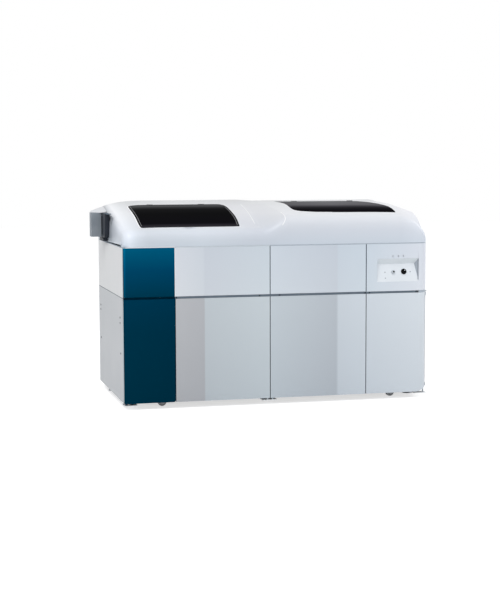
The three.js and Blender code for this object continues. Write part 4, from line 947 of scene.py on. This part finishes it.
def makeLid(side):
    window = windows[side]
    outline = softened(outlineOf(window))
    seat, low = lidSizes["seat"], lidSizes["seatLow"]
    ledge = [moved(outline, -lidSizes["seatOut"]), moved(outline, lidSizes["ledge"])]
    domeStrip(side + "_lid_seat", ledge, -seat - low, dome["thick"] - seat - 2 * low, "cover", "shell",
              closed=True)
    makePane(side, outline)
    # bright rims round the openings, coloured with a painted highlight
    domeStrip(side + "_lid_rim_highlight", stretchOf(outline, lidSizes["rim"], window["rim"]), lidSizes["rimLift"],
              lidSizes["rimThick"], "cover", "rimBright")
    for i, test in enumerate(window["lines"]):
        domeStrip("%s_lid_line_%d" % (side, i + 1), stretchOf(outline, lidSizes["line"], test),
                  lidSizes["lineLift"], lidSizes["lineThick"], window["body"], "lidLine")


for side in windows:
    makeLid(side)
print("lids ready")


# Faces that pass a test get another finish; the test sees the middle, in machine places, and the normal
def repaint(piece, finish, test):
    piece.data.materials.append(finishes[finish])
    index = len(piece.data.materials) - 1
    for face in piece.data.polygons:
        if test(face.center - corner, face.normal):
            face.material_index = index


# The lower panels end a little higher than in the drawing, with their outer corners rounded
foot = {"low": 0.030, "lift": 0.005, "zone": 0.30, "cornerZone": 0.08, "slack": 0.0005,
        "cutTolerance": 1e-6, "blueWide": 0.268, "blueCorner": 0.008, "sideEnd": 0.8577, "sideCorner": 0.020,
        "wrapRise": 0.036, "wrapRound": 0.070, "wrapPower": 1.3,
        "rightFrom": 0.076, "rightRise": 0.060, "rightCuts": (0.090, 0.105, 0.120, 0.136)}


def roundRise(distance, radius):
    part = min(1, max(0, 1 - distance / radius))
    return radius * (1 - math.sqrt(1 - part * part))


def blueRise(p):
    return roundRise(p.x, foot["blueCorner"]) + roundRise(foot["blueWide"] - p.x, foot["blueCorner"])


# The end door's foot rises as it wraps round the corner, and the right side panel's falls back from there
def endRise(p):
    size = foot["wrapRound"]
    turn = math.pi / 2 if p.y >= size else 0
    if p.x > wide - size and p.y < size:
        turn = math.atan2(p.x - wide + size, size - p.y)
    return foot["wrapRise"] * min(1, max(0, turn / (math.pi / 2))) ** foot["wrapPower"]


def rightRise(p):
    return foot["wrapRise"] * max(0, 1 - (p.y - foot["rightFrom"]) / foot["rightRise"]) ** 2


def leftRise(p):
    return roundRise(foot["sideEnd"] - p.y, foot["sideCorner"])


def footRaised(rise=lambda p: 0, cuts=(), way=(1, 0, 0)):
    def change(form):
        for cut in cuts:
            everything = form.verts[:] + form.edges[:] + form.faces[:]
            bmesh.ops.bisect_plane(form, geom=everything, plane_co=corner + Vector(way) * cut, plane_no=way,
                                   dist=foot["cutTolerance"])
        for v in form.verts:
            up = v.co.z - foot["low"]
            if up > -foot["slack"]:
                v.co.z += foot["lift"] * max(0, 1 - up / foot["zone"])
                v.co.z += rise(v.co - corner) * max(0, 1 - up / foot["cornerZone"])
    return change


# Edges of the panels, and where a face counts as one of their narrow sides
panels = {"silver": 0.0016, "blue": 0.0022, "blueSegments": 3, "sideways": 0.8, "skin": 0.0014,
          "blueSideways": 0.9, "blueEdge": 0.003}


# the narrow sides of a panel that face into the gaps get a painted shade
def shadedSides(piece, finish):
    repaint(piece, finish, lambda p, n: abs(n.x) > panels["sideways"] and p.y > panels["skin"])


for node in ("left_upper_panel", "right_upper_panel"):
    shadedSides(eased(node, "silverUpper", panels["silver"]), "seamDark")
for node in ("left_door", "right_door", "end_door"):
    rise = footRaised(endRise) if node == "end_door" else footRaised()
    shadedSides(eased(node, "silverLower", panels["silver"], reshape=rise), "seamDark")
blueCuts = [k / 3 * foot["blueCorner"] for k in (1, 2, 3)]
blueFoot = footRaised(blueRise, blueCuts + [foot["blueWide"] - cut for cut in blueCuts])
for node, finish, change in (("blue_door", "blueLower", blueFoot), ("blue_upper_panel", "blueUpper", None)):
    piece = eased(node, finish, panels["blue"], panels["blueSegments"], change)
    shadedSides(piece, "gapBlue")
    # the left side of each blue panel gets a painted highlight
    repaint(piece, "blueEdge", lambda p, n: n.x < -panels["blueSideways"] and p.x < panels["blueEdge"])
sideCuts = [foot["sideEnd"] - k / 4 * foot["sideCorner"] for k in (1, 2, 3, 4)]
eased("left_side_lower_panel", "sidePaint", reshape=footRaised(leftRise, sideCuts, (0, 1, 0)))
eased("right_side_lower_panel", "sidePaint", reshape=footRaised(rightRise, foot["rightCuts"], (0, 1, 0)))
# the rear panels, with their many slots, keep the edges of the drawing
eased("rear_lower_panel", "sidePaint", 0, reshape=footRaised())
eased("rear_upper_panel", "sidePaint", 0)
for node in ("left_side_upper_panel", "right_side_upper_panel"):
    eased(node, "sidePaint")

# Control panel: the recess has a sloped floor, a brow over it and a wall at its right end; the floor and brow
# are painted lighter and the wall darker than the panel, as painted light and shade
recess = {"left": 1.3646, "right": 1.600, "bottom": 0.6336, "top": 0.7573, "ridge": 0.728, "deep": 0.020,
          "low": 0.0006, "front": 0.0003, "back": 0.025, "leastUp": 0.1, "leastOut": 0.5, "leastAside": 0.3}
recessLean = math.atan2(recess["deep"] - recess["low"], recess["ridge"] - recess["bottom"])
recessOut = Vector((0, -math.cos(recessLean), math.sin(recessLean)))


def inRecess(p):
    return (recess["left"] < p.x < recess["right"] and recess["bottom"] < p.z < recess["top"]
            and recess["front"] < p.y < recess["back"])


panel = eased("control_panel", "silverUpper", panels["silver"])
repaint(panel, "recessFloor",
        lambda p, n: inRecess(p) and n.z > recess["leastUp"] and n.y < -recess["leastOut"])
repaint(panel, "recessBrow", lambda p, n: inRecess(p) and n.z < -recess["leastAside"])
repaint(panel, "recessWall", lambda p, n: inRecess(p) and n.x < -recess["leastAside"])


# Point on the floor of the recess
def onRecess(x, z, lift=0.0):
    y = recess["low"] + (z - recess["bottom"]) * math.tan(recessLean)
    return at(x, y, z) + recessOut * lift


# Push buttons: a cap in a ring in the lit colour of the brow; the power button has a light spot as a painted
# glint, the other one a dark crescent of painted shade
buttonSizes = {"proud": 0.005, "stem": 0.012, "capEdge": 0.0016, "ringWide": 0.0028, "ringTall": 0.0016,
               "ringGap": 0.0003, "ringLow": 0.0001, "ringShoulder": 0.6, "outerEdge": 0.0005,
               "innerEdge": 0.0004}
buttons = {
    "power_button": {"place": (1.518, 0.686), "radius": 0.015, "finish": "buttonBlack",
                     "slot": "dark_plastic", "mark": "power_glint", "paintedSpotFinish": "glint", "share": 0.17,
                     "tall": 0.0003, "edge": 0.0001, "shift": (0.0055, 0.0065), "sides": 16},
    "operate_button": {"place": (1.458, 0.6835), "radius": 0.010, "finish": "buttonGrey",
                       "slot": "grey_plastic", "mark": "operate_shade_crescent", "paintedSpotFinish": "buttonBlack",
                       "share": 0.5, "tall": 0.0004, "edge": 0.0002, "shift": (0.003, 0.0025), "sides": 20},
}


def ringProfile(radius):
    inner, outer = radius + buttonSizes["ringGap"], radius + buttonSizes["ringWide"]
    low, tall = buttonSizes["ringLow"], buttonSizes["ringTall"]
    return [(inner, low), (outer, low), (outer, tall * buttonSizes["ringShoulder"]),
            (outer - buttonSizes["outerEdge"], tall), (inner + buttonSizes["innerEdge"], tall),
            (inner, tall - buttonSizes["innerEdge"]), (inner, low)]


for node, button in buttons.items():
    (x, z), radius, slot = button["place"], button["radius"], button["slot"]
    cap = capProfile(radius, buttonSizes["proud"] + buttonSizes["stem"], buttonSizes["capEdge"])
    turnedPiece(node + "_cap", cap, onRecess(x, z, -buttonSizes["stem"]), recessOut, node, button["finish"],
                [node])
    turnedPiece(node + "_ring", ringProfile(radius), onRecess(x, z), recessOut, "cabinet", "recessBrow")
    mark = capProfile(radius * button["share"], button["tall"], button["edge"])
    right, up = button["shift"]
    turnedPiece(button["mark"], mark, onRecess(x + right, z + up, buttonSizes["proud"]), recessOut, node,
                button["paintedSpotFinish"], sides=button["sides"])

# Lamps in the recess, and bare marks over it; a cap is given by radius, height, edge and crown
lamps = {"places": [(1.412, 0.684), (1.413, 0.653), (1.555, 0.6846)], "cap": (0.0035, 0.0012, 0.0005, 0.0003),
         "sides": 16}
for i, (x, z) in enumerate(lamps["places"]):
    turnedPiece("recess_lamp_%d" % (i + 1), capProfile(*lamps["cap"]), onRecess(x, z), recessOut, "cabinet",
                "lampGrey", sides=lamps["sides"])
marks = {"xs": (1.453, 1.484, 1.513), "low": 0.7655, "high": 0.7745, "half": 0.0020, "back": 0.0012}
for i, x in enumerate(marks["xs"]):
    slab("indicator_%d" % (i + 1), (x - marks["half"], 0, marks["low"]),
         (x + marks["half"], marks["back"], marks["high"]), "cabinet", "indicator", "grey_plastic")

# The finger grips lie behind a thin lip at the top of each door
grips = {"left_door": (0.276, 0.718), "right_door": (0.827, 1.298), "end_door": (1.322, 1.585),
         "blue_door": (0.050, 0.257)}
lip = {"low": 0.5562, "high": 0.5721, "front": 0.00004, "back": 0.0010, "over": 0.0008}
for node, (start, stop) in grips.items():
    slab(node + "_lip", (start - lip["over"], lip["front"], lip["low"]),
         (stop + lip["over"], lip["back"], lip["high"]), bodyOf[node],
         "blueLower" if node == "blue_door" else "silverLower", slotOf[node])
print("panels ready")

# Strips in the gaps between the panels; most are coloured with the painted shade of their gap. A step is how
# far a strip lies behind the panels' faces, and a pair is two heights or two places along a wall.
gaps = {"blueEnd": 0.269, "darkEnd": 1.600, "leftRound": 0.012, "rightRound": 0.070, "rear": 0.004,
        "leftSteps": 6, "rightSteps": 10, "tolerance": 1e-6, "thick": 0.001,
        "midStep": 0.0003, "midThick": 0.0006, "mid": (0.5728, 0.5832),
        "topStep": 0.0006, "top": (0.8368, 0.8412), "upper": (0.5845, 0.8362),
        "blueSeam": (0.2683, 0.2717), "blueStep": 0.0002,
        "seams": (0.7755, 1.304), "seamHalf": 0.0018, "seamStep": 0.0006,
        "side": (0.5767, 0.5793), "sideStep": 0.0005, "sideThick": 0.0008, "sideEnds": (0.856, 0.027),
        "endHalf": 0.0025, "endBack": 0.0008, "endHigh": (0.5735, 0.5822)}


# Plan outline of the cabinet, a step behind the panels' faces, between two places along the front
def planPath(step, first, last):
    left, right = gaps["leftRound"], gaps["rightRound"]
    path = [(step, deep - gaps["rear"]), (step, left)]
    for i in range(1, gaps["leftSteps"]):
        turn = math.pi / 2 * i / gaps["leftSteps"]
        path.append((left - (left - step) * math.cos(turn), left - (left - step) * math.sin(turn)))
    path += [(max(first, left), step), (min(last, wide - right), step)]
    for i in range(gaps["rightSteps"] + 1):
        turn = math.pi / 2 * i / gaps["rightSteps"]
        path.append((wide - right + (right - step) * math.sin(turn), right - (right - step) * math.cos(turn)))
    path.append((wide - step, deep - gaps["rear"]))
    least = gaps["tolerance"]
    clean = []
    for p in path:
        if first - least <= p[0] <= last + least and (not clean or math.dist(p, clean[-1]) > least):
            clean.append(p)
    return clean


def ribbon(name, path, heights, finish, thick=gaps["thick"]):
    form = bmesh.new()
    low, high = ([form.verts.new(at(x, y, z)) for x, y in path] for z in heights)
    for i in range(len(path) - 1):
        form.faces.new([low[i], low[i + 1], high[i + 1], high[i]])
    piece = newPiece(name, meshOf(form, name), "cabinet", finish)
    thickened(piece, thick)
    settled(piece)


# the left end of the first strip and the right end of the last one stay off the side walls
blueEnd, darkEnd, firstSeam = gaps["blueEnd"], gaps["darkEnd"], gaps["seams"][0]
for name, path, finish in (("mid_strip_blue", planPath(gaps["midStep"], 0.0, blueEnd)[2:], "gapBlue"),
                           ("mid_strip", planPath(gaps["midStep"], blueEnd, darkEnd), "gapDark"),
                           ("mid_strip_end", planPath(gaps["midStep"], darkEnd, wide)[:-1], "gapSoft")):
    ribbon(name, path, gaps["mid"], finish, gaps["midThick"])
for name, first, last, finish in (("cover_strip_blue", gaps["leftRound"], blueEnd, "sidePaint"),
                                  ("cover_strip_left", 0.0, gaps["leftRound"], "gapSoft"),
                                  ("cover_strip_mid", blueEnd, firstSeam, "seamLight"),
                                  ("cover_strip", firstSeam, wide, "gapSoft")):
    ribbon(name, planPath(gaps["topStep"], first, last), gaps["top"], finish)
# bright strip in the seam between blue and silver: a painted highlight of the panel edge
ribbon("blue_seam_highlight", [(x, gaps["blueStep"]) for x in gaps["blueSeam"]], gaps["upper"], "rimBright")
for i, x in enumerate(gaps["seams"]):
    ends = [(x + side * gaps["seamHalf"], gaps["seamStep"]) for side in (-1, 1)]
    ribbon("upper_seam_strip_%d" % (i + 1), ends, gaps["upper"], "seamDark")
ribbon("side_seam_strip", [(gaps["sideStep"], y) for y in gaps["sideEnds"]], gaps["side"], "gapDark",
       gaps["sideThick"])
gripEnds = [x for node, span in grips.items() if node != "blue_door" for x in span]
for i, x in enumerate(gripEnds):
    slab("grip_end_%d" % (i + 1), (x - gaps["endHalf"], 0.0, gaps["endHigh"][0]),
         (x + gaps["endHalf"], gaps["endBack"], gaps["endHigh"][1]), "cabinet", "gapBlack", "frame_paint")
print("gap strips ready")

# Screws in the left side panels, as (y, z)
screws = {"places": [(0.793, 0.4745), (0.795, 0.449), (0.107, 0.4726), (0.109, 0.444), (0.789, 0.290),
                     (0.100, 0.2855)],
          "cap": (0.0052, 0.0022, 0.001, 0.0006), "sink": 0.0002, "sides": 20}
for i, (y, z) in enumerate(screws["places"]):
    turnedPiece("side_screw_%d" % (i + 1), capProfile(*screws["cap"]), at(screws["sink"], y, z),
                Vector((-1, 0, 0)), "cabinet", "screwDark", sides=screws["sides"])

# The throat of the sampling port runs forward on the end wall, with a thin grey line of painted shadow beside
# it, a dark foot under it that is painted shadow where it meets the side panel, and a roof. Its front leans.
port = {
    "throat": {"low": (-0.0257, 0.450, 0.869), "high": (-0.0006, 0.5005, 0.9985), "finish": "darkPlastic",
               "edge": 0.001},
    "line": {"low": (-0.0012, 0.388, 0.868), "high": (-0.0002, 0.396, 0.990), "finish": "portLine",
             "edge": 0.0},
    "foot": {"low": (-0.0257, 0.5005, 0.8605), "high": (-0.0012, 0.5400, 0.8672), "finish": "gapBlack",
             "edge": 0.0008},
    "roof": {"low": (-0.0257, 0.365, 0.9960), "high": (-0.0004, 0.50, 0.9995), "finish": "gapDark",
             "edge": 0.0008},
}
portLean = {"pieces": ("throat", "line"), "before": 0.48, "slope": 0.20}
for name, size in port.items():
    piece = slab("port_" + name, size["low"], size["high"], bodyOf["sampling_port_throat"], size["finish"],
                 "dark_plastic", size["edge"])
    for v in piece.data.vertices:
        if name in portLean["pieces"] and v.co.y < at(0, portLean["before"], 0).y:
            v.co.y -= (v.co.z - size["low"][2]) * portLean["slope"]

# What the redrawn cover carries: hinge knuckles with webs, cheeks for the struts, knuckles of the lids
coverWhite = ("cover", "shell", "white_shell")
hinge = {"y": 0.696, "z": 1.0466, "radius": 0.005, "long": 0.060, "xs": (0.330, 1.270),
         "webY": 0.680, "webTop": 0.0015, "webLow": 0.003, "webEdge": 0.0008}
for i, x in enumerate(hinge["xs"]):
    place = (x, hinge["y"], hinge["z"])
    barPiece("cover_knuckle_%d" % (i + 1), place, hinge["radius"], hinge["long"], *coverWhite)
    slab("cover_web_%d" % (i + 1), (x, hinge["webY"], hinge["z"] - hinge["webLow"]),
         (x + hinge["long"], hinge["y"], hinge["z"] + hinge["webTop"]), *coverWhite, hinge["webEdge"])
cheeks = {"xs": (0.046, 1.614), "clear": 0.013, "thick": 0.004, "y": (0.318, 0.342), "low": 0.893,
          "sink": 0.004, "edge": 0.001}
starts = [x + way for x in cheeks["xs"] for way in (-cheeks["clear"] - cheeks["thick"], cheeks["clear"])]
for i, start in enumerate(starts):
    stop = start + cheeks["thick"]
    top = min(onDome(x, y).z for x in (start, stop) for y in cheeks["y"])
    slab("strut_cheek_%d" % (i + 1), (start, cheeks["y"][0], cheeks["low"]),
         (stop, cheeks["y"][1], top - cheeks["sink"]), *coverWhite, cheeks["edge"])
for side, window in windows.items():
    y = window["y"] + window["deep"] - lidSizes["hingeIn"]
    z = onDome(window["x"] + window["wide"] / 2, y).z - lidSizes["sink"]
    for i, share in enumerate(lidSizes["knuckleShares"]):
        barPiece("%s_lid_knuckle_%d" % (side, i + 1), (window["x"] + window["wide"] * share, y, z),
                 lidSizes["knuckle"], lidSizes["knuckleLong"], window["body"], "strutBlack", "tinted_window")

# Raised beads along the two creases of the saddle, in plan, coloured with a painted highlight; each narrows
# at its rear and front ends
beads = {"radius": 0.0024, "sink": 0.0010, "steps": 48, "sides": 8, "tip": 0.3, "tipSteps": 5, "angle": 60,
         "left": [(0.7496, 0.5526), (0.7508, 0.4516), (0.7491, 0.367), (0.7428, 0.266), (0.7302, 0.1422)],
         "right": [(0.8717, 0.154), (0.8683, 0.0826), (0.8651, 0.0292), (0.8612, 0.0154), (0.8502, 0.0060),
                   (0.8398, 0.0038)]}


def makeBead(side):
    path = [onDome(p.x, p.y, -beads["sink"]) for p in curveThrough(beads[side], beads["steps"])]
    last, sides = len(path) - 1, beads["sides"]
    turns = [2 * math.pi * k / sides for k in range(sides)]
    form = bmesh.new()
    rings = []
    for i, p in enumerate(path):
        along = (path[min(i + 1, last)] - path[max(i - 1, 0)]).normalized()
        across = along.cross(Vector((0, 0, 1))).normalized()
        up = across.cross(along)
        radius = beads["radius"] * min(1, beads["tip"] + min(i, last - i) / beads["tipSteps"])
        rings.append([form.verts.new(p + (across * math.cos(turn) + up * math.sin(turn)) * radius)
                      for turn in turns])
    for one, two in zip(rings, rings[1:]):
        for k in range(sides):
            form.faces.new([one[k], one[(k + 1) % sides], two[(k + 1) % sides], two[k]])
    form.faces.new(rings[0])
    form.faces.new(rings[-1])
    bmesh.ops.recalc_face_normals(form, faces=form.faces)
    piece = newPiece("bead_" + side, meshOf(form, "bead_" + side), "cover", "rimBright")
    smoothed(piece.data, beads["angle"])


for side in windows:
    makeBead(side)
print("cover details ready")

# What stays as the drawing has it, with its finish
kept = {
    "framePaint": ("floor_plate", "front_frame", "rear_frame", "top_ring"),
    "basePaint": ("base_ring",),
    "deckSteel": ("deck_plate",),
    "shell": ("port_canopy", "rear_hood"),
    "greyPlastic": ("sampling_port_shroud",),
    "darkPlastic": ("sampling_port_throat",),
    "strutBlack": ("left_strut_body", "right_strut_body"),
    "brightSteel": ("left_strut_rod", "right_strut_rod", "sample_arm_post", "reagent_arm_post"),
    "whitePlastic": ("sample_arm", "reagent_arm", "ion_module", "wash_cup_1", "wash_cup_2"),
    "trayPlastic": ("sample_tray", "reaction_tray", "reagent_tray", "cuvette_washer"),
    "bottlePlastic": ("detergent_bottle", "waste_tank"),
    "supplyCase": ("power_supply", "syringe_pump_block"),
    "plainSteel": [name % i for name in ("levelling_foot_%d", "caster_fork_%d") for i in range(1, 5)],
    "rubber": ["caster_wheel_%d" % i for i in range(1, 5)],
}
keptEdge = 0.0008
for finish, nodes in kept.items():
    for node in nodes:
        eased(node, finish, keptEdge)
print("inner pieces ready")
